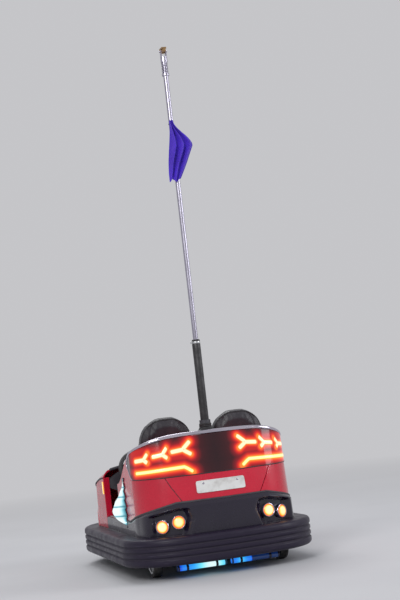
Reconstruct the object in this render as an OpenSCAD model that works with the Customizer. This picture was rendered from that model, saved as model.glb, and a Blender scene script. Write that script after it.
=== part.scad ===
// Two-seat electric bumper car that takes its current from a wire ceiling through a pole.
// Millimetres, Z up. The nose points to -Y and the driver's left side is +X.
// The origin is on the floor, under the middle of the bumper.

/* [Bumper] */
// Length of the car over its bumper
car_length = 1960; // [1860:10:2100]
// Width of the car over its bumper
car_width = 1160; // [1120:10:1240]
// Thickness of the rubber, from its steel band out
bumper_depth = 95; // [75:1:105]
// Height of the rubber
bumper_height = 160; // [145:1:170]
// Air between the rubber and the floor
bumper_clearance = 85; // [75:1:95]
// Radius of the bumper's nose, seen from above
nose_radius = 620; // [600:10:680]
// Half of the angle that the nose arc spans
nose_angle = 55; // [50:1:58]
// Radius of the bumper's flat tail, seen from above
tail_radius = 1500; // [1300:10:1800]
// Half of the angle that the tail arc spans
tail_angle = 12; // [9:1:13]
// Depth of the grooves round the rubber
groove_depth = 7; // [3:1:10]

/* [Frame] */
// Thickness of the floor plate and of the band behind the rubber
steel = 6; // [4:1:8]
// Height of the floor plate above the bottom of the rubber
plate_rise = 20; // [15:1:30]
// Width of the ledge that the body stands on
ledge_width = 75; // [60:1:90]
// Thickness of the floor mat
mat = 4; // [3:0.5:6]

/* [Body] */
// Gap in plan between the rubber and the body
body_inset = 9; // [6:1:15]
// Thickness of the moulded body panels
panel = 8; // [6:1:10]
// Thickness of the double side wall beside the seats
side_wall = 40; // [30:1:45]
// Height of the black rear valance above the bumper
valance_height = 185; // [170:1:200]
// Height of the black strip that runs on along the sides
strip_height = 84; // [70:1:90]
// How far the rear valance stands out from the red panel
valance_proud = 20; // [12:1:26]
// Depth of the two lamp bays in the rear valance
bay_depth = 42; // [30:1:50]
// Height of the red panel between valance and lamp lens
boot_height = 150; // [140:1:165]
// Height of the tail lens in its middle
lens_height = 226; // [210:1:240]
// Height of the bright trim over the lens
trim_height = 30; // [20:1:38]
// How far the lens arch falls towards its ends
arch_drop = 86; // [70:1:100]
// How far the lens runs on along each side, past the corner
lens_past = 28; // [15:1:45]
// How far the tail leans forward at its top
tail_lean = 85; // [65:1:100]
// Height of the rear side walls above the bumper, at the entry
quarter_height = 300; // [280:1:320]
// Height of the entry sills above the bumper
sill_height = 80; // [70:1:95]
// Height of the body sides above the bumper at the nose
nose_height = 100; // [85:1:120]
// Height of the front wings above the bumper at the entry
wing_height = 325; // [300:1:340]
// Height of the bonnet above the bumper at the dashboard
bonnet_height = 372; // [360:1:390]
// Crown of the bonnet
bonnet_crown = 42; // [20:1:60]
// Distance from the bumper's nose back to the entry
front_length = 745; // [720:1:760]
// Distance from the bumper's tail forward to the entry
rear_length = 790; // [770:1:810]

/* [Lamps] */
// Diameter of the round lamp lenses
round_lamp_d = 66; // [56:1:74]
// Width of the bezel round a lamp lens
bezel_width = 8; // [5:1:9]
// Height of the inner round lamps above the bumper
round_lamp_rise = 81; // [76:1:86]
// Width of the strokes that the lit arrows are made of
stroke = 18; // [14:1:20]
// Diameter of the small round lamps on the nose
nose_lamp_d = 60; // [50:1:66]
// How far the lit shapes stand out from what they are on
lit_proud = 4; // [2:0.5:5]
// Length of the lamp bar under the tail
underlamp_length = 620; // [500:10:620]
// Diameter of the lamp bar under the tail
underlamp_d = 34; // [26:1:38]
// Length of the blank number plate
plate_length = 300; // [260:1:340]
// Height of the blank number plate
plate_height = 70; // [60:1:80]

/* [Seats] */
// Height of the seat cushion's top above the bumper
seat_height = 88; // [80:1:110]
// Thickness of the seat cushion
cushion = 86; // [70:1:86]
// How far the seat cushion reaches forward of the rear walls
seat_lead = 145; // [130:1:160]
// Depth of the seat cushion
seat_depth = 340; // [320:1:350]
// Gap between the two seat backs
seat_split = 80; // [60:1:90]
// Gap between a seat back and the side wall
seat_side_gap = 28; // [20:1:40]
// Thickness of each seat back
back_thickness = 84; // [60:1:90]
// Length of the seat backs, from the cushion up
back_length = 620; // [600:1:650]
// Lean of the seat backs, in degrees
back_lean = 12; // [8:0.5:13]

/* [Wheels] */
// Diameter of the steered drive wheel
drive_wheel_d = 250; // [230:2:260]
// Width of the drive wheel's tyre
drive_wheel_w = 76; // [60:1:84]
// Diameter of the rear wheels
rear_wheel_d = 200; // [190:2:210]
// Width of the rear wheels
rear_wheel_w = 50; // [40:1:56]
// Distance from the side wall in to the middle of a rear wheel
rear_wheel_inset = 46; // [44:1:60]
// Distance of the rear axle from the bumper's tail
rear_axle_back = 358; // [350:1:362]
// Distance of the steered wheel from the bumper's nose
drive_back = 395; // [388:1:402]
// Radius of the round well that the drive unit turns in
well_radius = 205; // [200:1:210]

/* [Steering] */
// Diameter of the steering wheel
steering_wheel_d = 320; // [300:5:340]
// Thickness of the steering wheel's rim
rim_d = 28; // [22:1:32]
// Tilt of the steering wheel's axis above level, in degrees
steering_tilt = 38; // [30:1:45]
// Distance from the dashboard to the steering wheel, along its axis
steering_reach = 130; // [120:1:150]

/* [Pole] */
// Height of the contact shoe's top above the floor
pole_top = 3150; // [2800:10:3300]
// Diameter of the padded sleeve round the pole's foot
sleeve_d = 50; // [44:1:60]
// Length of the padded sleeve
sleeve_length = 560; // [300:10:640]
// Diameter of the pole
pole_d = 30; // [26:1:36]
// Distance of the pole from the bumper's tail
pole_back = 318; // [312:1:322]
// Height of the pennant's top above the floor
pennant_top = 2700; // [2500:10:2750]
// Height of the pennant along the pole
pennant_height = 380; // [300:10:420]

/* [Hidden] */
$fn = 48;
fit = 0.3;              // gap between pieces that only rest on each other
running = 0.08;         // gap round a shaft in its bore

red = "firebrick";
black = "#1c1a20";
rubber = "#17131c";
bright = "silver";
lit_red = "orangered";
lit_amber = "orange";
lit_white = "azure";

// Heights
plate_z = bumper_clearance + plate_rise;      // underside of the floor plate
floor_z = plate_z + steel;                    // top of the floor plate
deck_z = bumper_clearance + bumper_height;    // top of the rubber and of the ledge
body_z = deck_z + fit;                        // foot of every body panel
valance_z = deck_z + valance_height;
lens_z = valance_z + boot_height;
arch_z = lens_z + lens_height;                // top of the lens in its middle
sill_z = deck_z + sill_height;
seat_z = deck_z + seat_height;
plinth_z = seat_z - cushion;                  // top of the seat's moulded base

// Depths in plan, measured in from the outline of the rubber
band_d = bumper_depth + steel;
body_d = bumper_depth + body_inset;

// Places along the car and across it
half_w = car_width / 2;
half_l = car_length / 2;
entry_front = front_length - half_l;
entry_rear = half_l - rear_length;
dash_half = half_w - body_d - side_wall;      // half of the cockpit's width
drive_y = drive_back - half_l;
rear_axle_y = half_l - rear_axle_back;
pole_y = half_l - pole_back;
rear_track = 2 * (dash_half - rear_wheel_inset);
seat_front = entry_rear - seat_lead;
back_width = dash_half - seat_side_gap - seat_split / 2;
steering_x = (back_width + seat_split) / 2;   // in line with the driver's seat

// Small helpers
function mix(a, b, t) = a + (b - a) * t;
function clip(t) = min(1, max(0, t));
function ease(t) = let (c = clip(t)) c * c * (3 - 2 * c);
function flatten(rows) = [for (r = rows) each r];
function degrees_to(r, a) = r * a * PI / 180;   // length of an arc
function backward(list) = [for (i = [len(list) - 1:-1:0]) list[i]];

// The outline of the rubber: two arcs and two straight sides, joined by corner arcs.
// A station is a place on it: [x, y, outward x, outward y, distance along the body's side].
nose_corner = (half_w - nose_radius * sin(nose_angle)) / (1 - sin(nose_angle));
tail_corner = (half_w - tail_radius * sin(tail_angle)) / (1 - sin(tail_angle));
nose_corner_y = -half_l + nose_radius - (nose_radius - nose_corner) * cos(nose_angle);
tail_corner_y = half_l - tail_radius + (tail_radius - tail_corner) * cos(tail_angle);
function run(r, corner, knee, a) =
    degrees_to(r - body_d, min(abs(a), knee)) + degrees_to(corner - body_d, max(0, abs(a) - knee));
function end_at(a, way, r, corner, knee, corner_y) =
    let (flat = abs(a) <= knee, q = flat ? r : corner)
    [sin(a) * q + (flat ? 0 : sign(a) * (half_w - corner)),
     way * cos(a) * q + (flat ? way * (half_l - r) : corner_y),
     sin(a), way * cos(a), run(r, corner, knee, a)];
function tail_at(a) = end_at(a, 1, tail_radius, tail_corner, tail_angle, tail_corner_y);
function nose_at(a) = end_at(a, -1, nose_radius, nose_corner, nose_angle, nose_corner_y);
tail_run = run(tail_radius, tail_corner, tail_angle, 90);   // middle of the tail to the straight side
nose_run = run(nose_radius, nose_corner, nose_angle, 90);
function rear_side(s, y) = [s * half_w, y, s, 0, tail_run + tail_corner_y - y];
function front_side(s, y) = [s * half_w, y, s, 0, nose_run + y - nose_corner_y];
function at(st, d, z) = [st[0] - st[2] * d, st[1] - st[3] * d, z];

// The station at a signed distance t along the body's side from the middle of the tail
flat_run = run(tail_radius, tail_corner, tail_angle, tail_angle);
function travel_angle(t) = let (d = abs(t))
    sign(t) * (d <= flat_run ? d / flat_run * tail_angle
        : tail_angle + (d - flat_run) / degrees_to(tail_corner - body_d, 1));
function rear_station(t) = abs(t) >= tail_run ? rear_side(sign(t), tail_corner_y - abs(t) + tail_run)
    : tail_at(travel_angle(t));

// Stations run anticlockwise as seen from above
function turn(from, to, n) = [for (i = [0:n]) mix(from, to, i / n)];
lens_end = tail_run + lens_past;
rear_end = tail_run + tail_corner_y - entry_rear;
bay_from = 200;         // where the lamp bays of the valance begin, from the middle of the tail
bay_to = 450;
bay_ramp = 20;
half_travels = concat(turn(rear_end, lens_end + 1.5, 5), [lens_end], turn(tail_run, bay_to, 4),
    turn(bay_to - bay_ramp, flat_run, 4), [bay_from + 3 * bay_ramp, bay_from + bay_ramp, bay_from, 140, 70]);
rear_travels = concat(half_travels, [0], [for (t = backward(half_travels)) -t]);
rear_stations = [for (t = rear_travels) rear_station(t)];
lens_stations = [for (t = rear_travels) if (abs(t) <= lens_end) rear_station(t)];
nose_angles = concat(turn(-90, -nose_angle, 5), turn(-nose_angle * 7 / 8, nose_angle * 7 / 8, 14),
    turn(nose_angle, 90, 5));
front_stations = concat([for (y = turn(entry_front, nose_corner_y, 3)) front_side(-1, y)],
    [for (a = nose_angles) if (abs(a) < 90) nose_at(a)],
    [for (y = turn(nose_corner_y, entry_front, 3)) front_side(1, y)]);

// The whole outline at depth d, with the same stations as the rubber
ring_tail_angles = concat(turn(90, tail_angle, 12), turn(tail_angle * 2 / 3, -tail_angle * 2 / 3, 4),
    turn(-tail_angle, -90, 12));
ring_nose_angles = concat(turn(-90, -nose_angle, 6), turn(-nose_angle * 7 / 8, nose_angle * 7 / 8, 14),
    turn(nose_angle, 90, 6));
ring_stations = concat([for (a = ring_tail_angles) tail_at(a)], [for (a = ring_nose_angles) nose_at(a)]);
function outline(d) = [for (st = ring_stations) [st[0] - st[2] * d, st[1] - st[3] * d]];

// A closed wall between an outer and an inner grid. Rows go up, columns go anticlockwise.
module wall(outer, inner) {
    rows = len(outer);
    cols = len(outer[0]);
    back = rows * cols;
    function at_grid(r, c) = r * cols + c;
    sheet = [for (r = [0:rows - 2]) for (c = [0:cols - 2])
        let (p = at_grid(r, c), q = at_grid(r + 1, c))
        each [[p, q, q + 1], [p, q + 1, p + 1]]];
    rim = concat([for (c = [0:cols - 1]) at_grid(0, c)],
        [for (r = [1:rows - 1]) at_grid(r, cols - 1)],
        [for (c = [cols - 2:-1:0]) at_grid(rows - 1, c)],
        [for (r = [rows - 2:-1:1]) at_grid(r, 0)]);
    n = len(rim);
    polyhedron(points = concat(flatten(outer), flatten(inner)),
        faces = concat(sheet,
            [for (f = sheet) [f[2] + back, f[1] + back, f[0] + back]],
            [for (i = [0:n - 1]) let (a = rim[i], b = rim[(i + 1) % n])
                each [[a, b, b + back], [a, b + back, a + back]]]));
}

// A closed ring through sections that all have the same points, in order round the ring
module ring(sections) {
    n = len(sections);
    m = len(sections[0]);
    polyhedron(points = flatten(sections),
        faces = [for (i = [0:n - 1]) for (j = [0:m - 1])
            let (k = (i + 1) % n, l = (j + 1) % m,
                a = i * m + j, b = i * m + l, c = k * m + l, d = k * m + j)
            each [[a, b, c], [a, c, d]]]);
}

// Rear surface
function rear_top(t) = t <= lens_end
    ? arch_z - arch_drop * pow(t / lens_end, 3.2)
    : mix(arch_z - arch_drop, deck_z + quarter_height, ease((t - lens_end) / (rear_end - lens_end)));
function valance_line(t) = deck_z + mix(valance_height, strip_height,
    ease((t - 0.45 * tail_run) / (0.74 * tail_run)));
function lean(st, z) = tail_lean * pow(max(0, z - deck_z) / (arch_z - deck_z), 1.7)
    * mix(0.05, 1, max(0, st[3]));
function rear_at(st, z, out) = at(st, body_d + lean(st, z) - out, z);
function rear_thick(t) = mix(panel, side_wall, ease((t - lens_end) / 150));

// A wall on the rear surface between two heights
module rear_wall(stations, low, high, out, back, rows) {
    wall([for (r = [0:rows]) [for (i = [0:len(stations) - 1])
            rear_at(stations[i], mix(low[i], high[i], r / rows), out[i])]],
        [for (r = [0:rows]) [for (i = [0:len(stations) - 1])
            rear_at(stations[i], mix(low[i], high[i], r / rows), back[i])]]);
}

// Front surface
front_end = nose_run + entry_front - nose_corner_y;
front_lean = 40;        // how far the nose wall leans back at its top
function front_top(t) = deck_z + mix(nose_height, wing_height, ease(t / front_end));
function front_at(st, z, out) = at(st, body_d - out
    + front_lean * pow((z - deck_z) / wing_height, 2) * max(0, -st[3]), z);
function front_thick(t) = mix(panel, side_wall, ease((t - nose_run) / 150));

// Bonnet: from the top of the front walls, in and up to the dashboard
dash_y = entry_front - 6;    // rear edge of the bonnet
bonnet_z = deck_z + bonnet_height;
bonnet_bulge = 1.45;    // 1 is a quarter ellipse, 2 a flat wedge
function bonnet_at(st, v, out) =
    let (t = st[4], e = front_at(st, front_top(t), out), s = sign(st[2]),
        x = (dash_half + out) * s * t / front_end,
        top = bonnet_z + bonnet_crown * (1 - pow(t / front_end, 2)),
        h = 1 - pow(cos(90 * v), bonnet_bulge), w = pow(sin(90 * v), bonnet_bulge))
    [mix(e[0], x, h), mix(e[1], dash_y, h), mix(e[2] + fit, top + out, w)];

module bumper_ring() {
    edge = 22;
    lands = 4;
    land = (bumper_height - 2 * edge) / (2 * lands - 1);
    // The outer face: rounded edges with flat lands and grooves between them
    face = concat(
        [for (a = [-90:18:0]) [edge - edge * cos(a), bumper_clearance + edge + edge * sin(a)]],
        [for (i = [1:2 * lands - 2]) let (z = bumper_clearance + edge + land * i, in = i % 2 == 1)
            each [[in ? 0 : groove_depth, z], [in ? groove_depth : 0, z + (in ? 2 : 0)]]],
        [for (a = [0:18:90]) [edge - edge * cos(a), deck_z - edge + edge * sin(a)]],
        [[bumper_depth, deck_z], [bumper_depth, bumper_clearance]]);
    color(rubber) ring([for (st = ring_stations) [for (p = face) at(st, p[0], p[1])]]);
}

// Rear wheel brackets, written here because the floor plate is cut to clear them
wheel_gap = 6;          // air between a rear wheel and its cheeks
cheek = 6;              // thickness of a bracket's cheek
fork_half = rear_wheel_w / 2 + wheel_gap + cheek;
stub_end = fork_half + 6;
axle_z = rear_wheel_d / 2;
stub_d = 20;            // diameter of a rear wheel's axle
opening_length = rear_wheel_d + 24;

opening_side = stub_end + 1.5;                  // half of the width of a rear wheel's opening

// Steel channel behind the rubber, with the ledge that the body stands on
module bumper_band() {
    color("dimgray") union() {
        translate([0, 0, plate_z]) linear_extrude(deck_z - plate_z) difference() {
            polygon(outline(bumper_depth));
            polygon(outline(band_d));
        }
        translate([0, 0, deck_z - steel]) linear_extrude(steel) difference() {
            polygon(outline(bumper_depth));
            polygon(outline(bumper_depth + ledge_width));
        }
    }
}

lash_x = dash_half - 136;   // holes for lifting and for lashing the car down
lash_y = [entry_front + 5, entry_rear + 290];
lash_d = 22;
module floor_plate() {
    color("slategray") difference() {
        translate([0, 0, plate_z]) linear_extrude(steel) polygon(outline(band_d));
        translate([0, drive_y, 0]) cylinder(r = well_radius, h = deck_z);
        for (s = [-1, 1])
            translate([s * rear_track / 2 - opening_side, rear_axle_y - opening_length / 2, 0])
                cube([2 * opening_side, opening_length, deck_z]);
        for (s = [-1, 1]) for (y = lash_y)
            translate([s * lash_x, y, 0]) cylinder(d = lash_d, h = deck_z);
    }
}

collar_top = drive_wheel_d + 14;
collar_wall = 12;

module slewing_ring() {
    color("slategray") translate([0, drive_y, floor_z]) difference() {
        union() {
            cylinder(r = well_radius + collar_wall, h = collar_top - floor_z);
            cylinder(r = well_radius + collar_wall + 20, h = 10);
        }
        translate([0, 0, -1]) cylinder(r = well_radius, h = collar_top);
    }
}

module rear_axles() {
    bracket_top = rear_wheel_d + 10;
    length = 90;
    color("slategray") for (s = [-1, 1]) translate([s * rear_track / 2, rear_axle_y, 0])
        difference() {
            union() {
                for (c = [-1, 1]) {
                    translate([c * (fork_half - cheek / 2) - cheek / 2, -length / 2, axle_z - 26])
                        cube([cheek, length, bracket_top - axle_z + 26 - cheek]);
                    // Feet on the floor plate, before and behind the opening
                    for (f = [-1, 1])
                        translate([c * (fork_half - cheek / 2) - cheek / 2, f > 0 ? 0 : -opening_length / 2 - 22,
                            floor_z])
                            cube([cheek, opening_length / 2 + 22, 40]);
                }
                translate([-fork_half, -length / 2, bracket_top - cheek])
                    cube([2 * fork_half, length, cheek]);
                translate([-stub_end, 0, axle_z]) rotate([0, 90, 0])
                    cylinder(d = stub_d, h = 2 * stub_end);
            }
        }
}

underlamp_y = half_l - bumper_depth - 50;
underlamp_z = 58;

module under_lamp() {
    gap = 30;
    part = (underlamp_length - gap) / 2;
    color("deepskyblue") for (s = [-1, 1]) translate([s * (part + gap) / 2, underlamp_y, underlamp_z]) {
        translate([-part / 2, 0, 0]) rotate([0, 90, 0]) cylinder(d = underlamp_d, h = part);
        translate([-part / 2 + 20, -5, 0]) cube([part - 40, 10, plate_z - underlamp_z]);
    }
}

module floor_mat() {
    front = drive_y + well_radius + collar_wall + 26;
    color("#26242b") translate([-base_half, front, floor_z]) cube([2 * base_half, seat_front - front, mat]);
}

// Seats
base_half = half_w - bumper_depth - ledge_width - 4;     // half of the plinth's width
cushion_half = dash_half - 6;
board = 12;             // thickness of the board behind the seat backs
back_y = seat_front + seat_depth;             // front of the seat backs at the plinth
back_foot = plinth_z + back_thickness * sin(back_lean) + fit;
function lean_y(z) = back_y + (z - back_foot) * tan(back_lean);
board_front = back_thickness / cos(back_lean) + fit;
board_top = arch_z - 70;

module seat_base() {
    skirt = 10;
    color("#2a2730") difference() {
        rotate([90, 0, 90]) translate([0, 0, -base_half]) linear_extrude(2 * base_half)
            polygon([[seat_front, floor_z], [lean_y(plinth_z) + board_front + board / cos(back_lean), floor_z],
                [lean_y(plinth_z) + board_front + board / cos(back_lean), plinth_z - 40],
                [lean_y(board_top) + board_front + board / cos(back_lean), board_top],
                [lean_y(board_top) + board_front, board_top],
                [lean_y(plinth_z) + board_front, plinth_z], [seat_front, plinth_z]]);
        translate([-base_half + skirt, seat_front + skirt, floor_z - 1])
            cube([2 * base_half - 2 * skirt, back_y - seat_front - 2 * skirt + 60, plinth_z - floor_z - skirt + 1]);
    }
}

module seat_cushion() {
    r = 30;
    color("#1f1c24") translate([-cushion_half, 0, plinth_z + fit]) rotate([90, 0, 90])
        linear_extrude(2 * cushion_half) union() {
            translate([seat_front, 0]) square([seat_depth - 12, cushion - r]);
            translate([seat_front + r, 0]) square([seat_depth - 12 - 2 * r, cushion]);
            for (y = [r, seat_depth - 12 - r])
                translate([seat_front + y, cushion - r]) circle(r);
        }
}

module seat_back(s) {
    slab = back_length + (seat_z - back_foot) / cos(back_lean);
    head_w = 270;
    shoulder = slab - 210;
    color("#1f1c24") translate([s * (back_width + seat_split) / 2, back_y, back_foot])
        rotate([90 - back_lean, 0, 0]) mirror([0, 0, 1])
            linear_extrude(back_thickness) union() {
                translate([-back_width / 2, 0]) square([back_width, shoulder - 50]);
                translate([-back_width / 2 + 50, 0]) square([back_width - 100, shoulder]);
                for (c = [-1, 1]) translate([c * (back_width / 2 - 50), shoulder - 50]) circle(50);
                translate([-head_w / 2, 0]) square([head_w, slab - 90]);
                translate([-head_w / 2 + 90, 0]) square([head_w - 180, slab]);
                for (c = [-1, 1]) translate([c * (head_w / 2 - 90), slab - 90]) circle(90);
            }
}
module seat_back_left() seat_back(1);
module seat_back_right() seat_back(-1);

// Rear body
post_d = sleeve_d + 16;  // diameter of the post that the pole stands in
module rear_shell() {
    st = rear_stations;
    color(red) rear_wall(st, [for (s = st) valance_line(s[4]) + fit],
        [for (s = st) s[4] <= lens_end ? lens_z : rear_top(s[4])],
        [for (s = st) 0], [for (s = st) -rear_thick(s[4])], 5);
}

deck_front = lean_y(board_top) + board_front + board / cos(back_lean) + 3;
deck_half = dash_half - 30;

module rear_deck() {
    st = lens_stations;
    function deck_at(s, v, low) =
        let (e = rear_at(s, rear_top(s[4]) - low - 5, -rear_thick(s[4]) - fit),
            u = s[4] / st[0][4], x = sign(s[2]) * deck_half * u,
            z = arch_z - 4 - 200 * pow(u, 2.4) - low,
            h = v, w = sin(90 * v))
        [mix(e[0], x, h), mix(e[1], deck_front, h), mix(e[2], z, w)];
    color("#2c0f14") difference() {
        wall([for (r = [0:3]) [for (s = st) deck_at(s, r / 3, 0)]],
            [for (r = [0:3]) [for (s = st) deck_at(s, r / 3, panel)]]);
        translate([0, pole_y, plate_z]) cylinder(d = post_d + 2 * fit, h = arch_z);
    }
}

module tail_lens() {
    st = lens_stations;
    color("#3a0d12") rear_wall(st, [for (s = st) lens_z + fit], [for (s = st) rear_top(s[4])],
        [for (s = st) 2], [for (s = st) -panel], 5);
}

module tail_trim() {
    st = lens_stations;
    color(bright) rear_wall(st, [for (s = st) rear_top(s[4]) + 3 * fit],
        [for (s = st) rear_top(s[4]) + trim_height], [for (s = st) 8], [for (s = st) -panel - 14], 2);
}

// A lit stroke on the lens along a path of [distance from the middle, height].
// Sideways step at a point of a path, as long as keeps both edges of the stroke straight
function unit(v) = v / norm(v);
function side_step(path, i) =
    let (last = len(path) - 1, d = unit(path[min(i + 1, last)] - path[max(i, 1)]),
        e = i == 0 || i == last ? unit(path[max(i, 1)] - path[max(i, 1) - 1])
            : unit(path[i] - path[i - 1]),
        f = i == last ? e : i == 0 ? unit(path[1] - path[0]) : d,
        n = unit([-e[1] - f[1], e[0] + f[0]]))
    n * min(1.3, 1 / (n * [-e[1], e[0]]));
module ribbon(path, wide, low, high) {
    function spot(i, s, out) = let (p = path[i] + s * wide / 2 * side_step(path, i))
        rear_at(rear_station(p[0]), p[1], out);
    n = len(path) - 1;
    wall([for (s = [1, -1]) [for (i = [0:n]) spot(i, s, high)]],
        [for (s = [1, -1]) [for (i = [0:n]) spot(i, s, low)]]);
}

// Each arrow is a Y on its side. The rows of the table give the distances of its arm ends, of its fork
// and of its tip from the middle, the heights of these three over the lens foot, and its half spread.
ARM = 0; FORK = 1; TIP = 2; ARM_Z = 3; FORK_Z = 4; TIP_Z = 5; SPREAD = 6;
arrows = [
    [155, 199, 272, 155, 150, 142, 36],
    [303, 336, 410, 140, 134, 126, 29],
    [450, 476, 545, 121, 114, 108, 26]];
lit_low = 2 + 3 * fit;      // underside of the lit shapes over the plain tail
lit_high = lit_low + lit_proud;
module tail_arrows() {
    color(lit_red) for (m = [0, 1]) mirror([m, 0, 0]) for (a = arrows) {
        ribbon([for (u = [-1:0.25:1]) [mix(a[FORK], a[ARM], abs(u)),
                lens_z + mix(a[FORK_Z], a[ARM_Z], abs(u)) + u * a[SPREAD]]], stroke, lit_low, lit_high);
        ribbon([for (u = [0:0.25:1]) [mix(a[FORK] + 0.72 * stroke, a[TIP], u),
                lens_z + mix(a[FORK_Z], a[TIP_Z], u)]], stroke, lit_low, lit_high);
    }
}

// Amber bar under the arrows, with its inner end bent down, and a marker strip on each front wing
bar_bend = 205;
bar_to = 545;
module amber_lamps() {
    bar = concat([[153, lens_z + 16], [bar_bend - 18, lens_z + 40]],
        [for (t = turn(bar_bend, bar_to, 16)) [t, lens_z + mix(50, 38, (t - bar_bend) / (bar_to - bar_bend))]]);
    color(lit_amber) for (m = [0, 1]) mirror([m, 0, 0]) {
        ribbon(bar, 16, lit_low, lit_high);
        low = deck_z + wing_height - 105;
        translate([half_w - body_d + fit, entry_front - 34, low]) rotate([90, 0, 90]) linear_extrude(lit_proud)
            polygon([[0, 0], [12, 0], [16, 80], [2, 80]]);
    }
}

// Rear valance, with a bay for two round lamps on each side
function bay(t) = ease((t - bay_from) / bay_ramp) * (1 - ease((t - bay_to + bay_ramp) / bay_ramp));
function valance_out(t) = valance_proud * (1 - ease((t - bay_to) / 100)) - bay_depth * bay(t);

bay_slant = 50;         // how much wider the middle of the valance is at its top
module rear_valance() {
    rows = 3;
    function slanted(t, v) = t + sign(t) * bay_slant * (v - 0.5) * clip(abs(t) / bay_from)
        * clip((flat_run - abs(t)) / (flat_run - bay_from - bay_ramp));
    function spot(t, v, out) = rear_at(rear_station(slanted(t, v)), mix(body_z, valance_line(abs(t)), v), out);
    function inner_out(t) = min(0, valance_out(abs(t))) - rear_thick(abs(t));
    color(black) wall([for (r = [0:rows]) [for (t = rear_travels) spot(t, r / rows, valance_out(abs(t)))]],
        [for (r = [0:rows]) [for (t = rear_travels) spot(t, r / rows, inner_out(t))]]);
}

// A frame whose Z points out of a surface, from a point and another just above it
module facing(p, above, st) {
    lean_back = atan2((p[0] - above[0]) * st[2] + (p[1] - above[1]) * st[3], above[2] - p[2]);
    translate(p) rotate([0, 0, atan2(st[3], st[2])]) rotate([0, 90 - lean_back, 0]) children();
}

// Round lamps: distances from the middle of the tail, and how much lower the outer ones are
round_lamps = [[277, 0], [376, 17]];
module on_tail(t, z, out) {
    st = rear_station(t);
    facing(rear_at(st, z, out), rear_at(st, z + 1, out), st) children();
}
lamp_back = valance_proud - bay_depth + fit;
module lamp_bezels() {
    r = round_lamp_d / 2;
    color(bright) for (s = [-1, 1]) for (l = round_lamps)
        on_tail(s * l[0], deck_z + round_lamp_rise - l[1], lamp_back) difference() {
            cylinder(r = r + bezel_width, h = 24);
            translate([0, 0, -1]) cylinder(r = r, h = 40);
        }
}
module lamp_lenses() {
    r = round_lamp_d / 2;
    color(lit_amber) for (s = [-1, 1]) for (l = round_lamps)
        on_tail(s * l[0], deck_z + round_lamp_rise - l[1], lamp_back) {
            cylinder(r = r - fit, h = 20);
            translate([0, 0, 20]) rotate_extrude()
                intersection() {
                    translate([0, -r * 1.2]) circle(r * 1.2 + 12);
                    square([r - fit, 14]);
                }
        }
}

// Side lamps: a bulging leaf on each rear quarter, with a smooth front edge and teeth towards the tail
module side_lamps() {
    teeth = 5;
    cols = 6;
    low = deck_z + 58;
    high = lens_z + 8;
    back_edge = tail_run + 238;
    bulge = 44;
    function spot(s, i, c, deep) = let (v = i / (2 * teeth), swell = sin(180 * pow(1 - v, 1.94)),
            back = back_edge + 14 + (i % 2 == 0 ? 22 : -14) * (1 - pow(2 * v - 1, 4)),
            front = back_edge + 30 + 108 * swell, u = c / cols)
        rear_at(rear_station(s * mix(back, front, u)), mix(low, high, v),
            deep ? 2 * fit : 2 * fit + lit_proud + bulge * swell * sin(180 * pow(u, 0.8)));
    for (s = [-1, 1]) {
        order = s > 0 ? turn(cols, 0, cols) : turn(0, cols, cols);
        color(lit_white) wall(
            [for (i = [0:2 * teeth]) [for (c = order) spot(s, i, c, false)]],
            [for (i = [0:2 * teeth]) [for (c = order) spot(s, i, c, true)]]);
    }
}

module number_plate() {
    z = (valance_z + lens_z) / 2;
    st = [for (t = turn(plate_length / 2, -plate_length / 2, 8)) rear_station(t)];
    color("whitesmoke") rear_wall(st, [for (s = st) z - plate_height / 2], [for (s = st) z + plate_height / 2],
        [for (s = st) fit + 5], [for (s = st) fit + 0.3], 1);
}

// Front body
module front_shell() {
    st = front_stations;
    color(red) wall([for (r = [0:4]) [for (s = st)
            front_at(s, mix(body_z, front_top(s[4]), r / 4), 0)]],
        [for (r = [0:4]) [for (s = st)
            front_at(s, mix(body_z, front_top(s[4]), r / 4), -front_thick(s[4]))]]);
}

bonnet_rows = 12;
module bonnet() {
    color(red) wall([for (r = [0:bonnet_rows]) [for (s = front_stations) bonnet_at(s, r / bonnet_rows, 0)]],
        [for (r = [0:bonnet_rows]) [for (s = front_stations) bonnet_at(s, r / bonnet_rows, -panel)]]);
}

// A patch on the bonnet's own grid of points, between two rows and two angles
module bonnet_patch(s, from_row, to_row, near, far, proud) {
    st = [for (a = nose_angles) if (s * a > near && s * a < far) nose_at(a)];
    wall([for (r = [from_row:to_row]) [for (i = st) bonnet_at(i, r / bonnet_rows, proud)]],
        [for (r = [from_row:to_row]) [for (i = st) bonnet_at(i, r / bonnet_rows, 2 * fit)]]);
}

module headlamps() {
    color(lit_white) for (s = [-1, 1]) {
        bonnet_patch(s, 2, 4, 33, 64, 6);
        st = nose_at(s * nose_angle * 3 / 4);
        z = deck_z + 56;
        facing(front_at(st, z, fit), front_at(st, z + 1, fit), st) {
            cylinder(d = nose_lamp_d, h = 10);
            translate([0, 0, 10]) cylinder(d1 = nose_lamp_d, d2 = nose_lamp_d * 0.6, h = 8);
        }
    }
}

module nose_grille() {
    st = [for (a = nose_angles) if (abs(a) <= 0.51 * nose_angle) nose_at(a)];
    slats = 3;
    pitch = (nose_height - 20) / slats;
    sheet = 3;
    proud = 12;
    // Rows of [height over the deck, depth], from the foot up
    rows = concat([[10, sheet]], [for (i = [0:slats - 1]) let (low = 16 + i * pitch, high = low + pitch / 2)
        each [[low - 2, sheet], [low, proud], [high, proud], [high + 2, sheet]]],
        [[nose_height - 8, sheet]]);
    color(black) wall([for (r = rows) [for (s = st) front_at(s, deck_z + r[0], 3 * fit + r[1])]],
        [for (r = rows) [for (s = st) front_at(s, deck_z + r[0], 3 * fit)]]);
}

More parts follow.
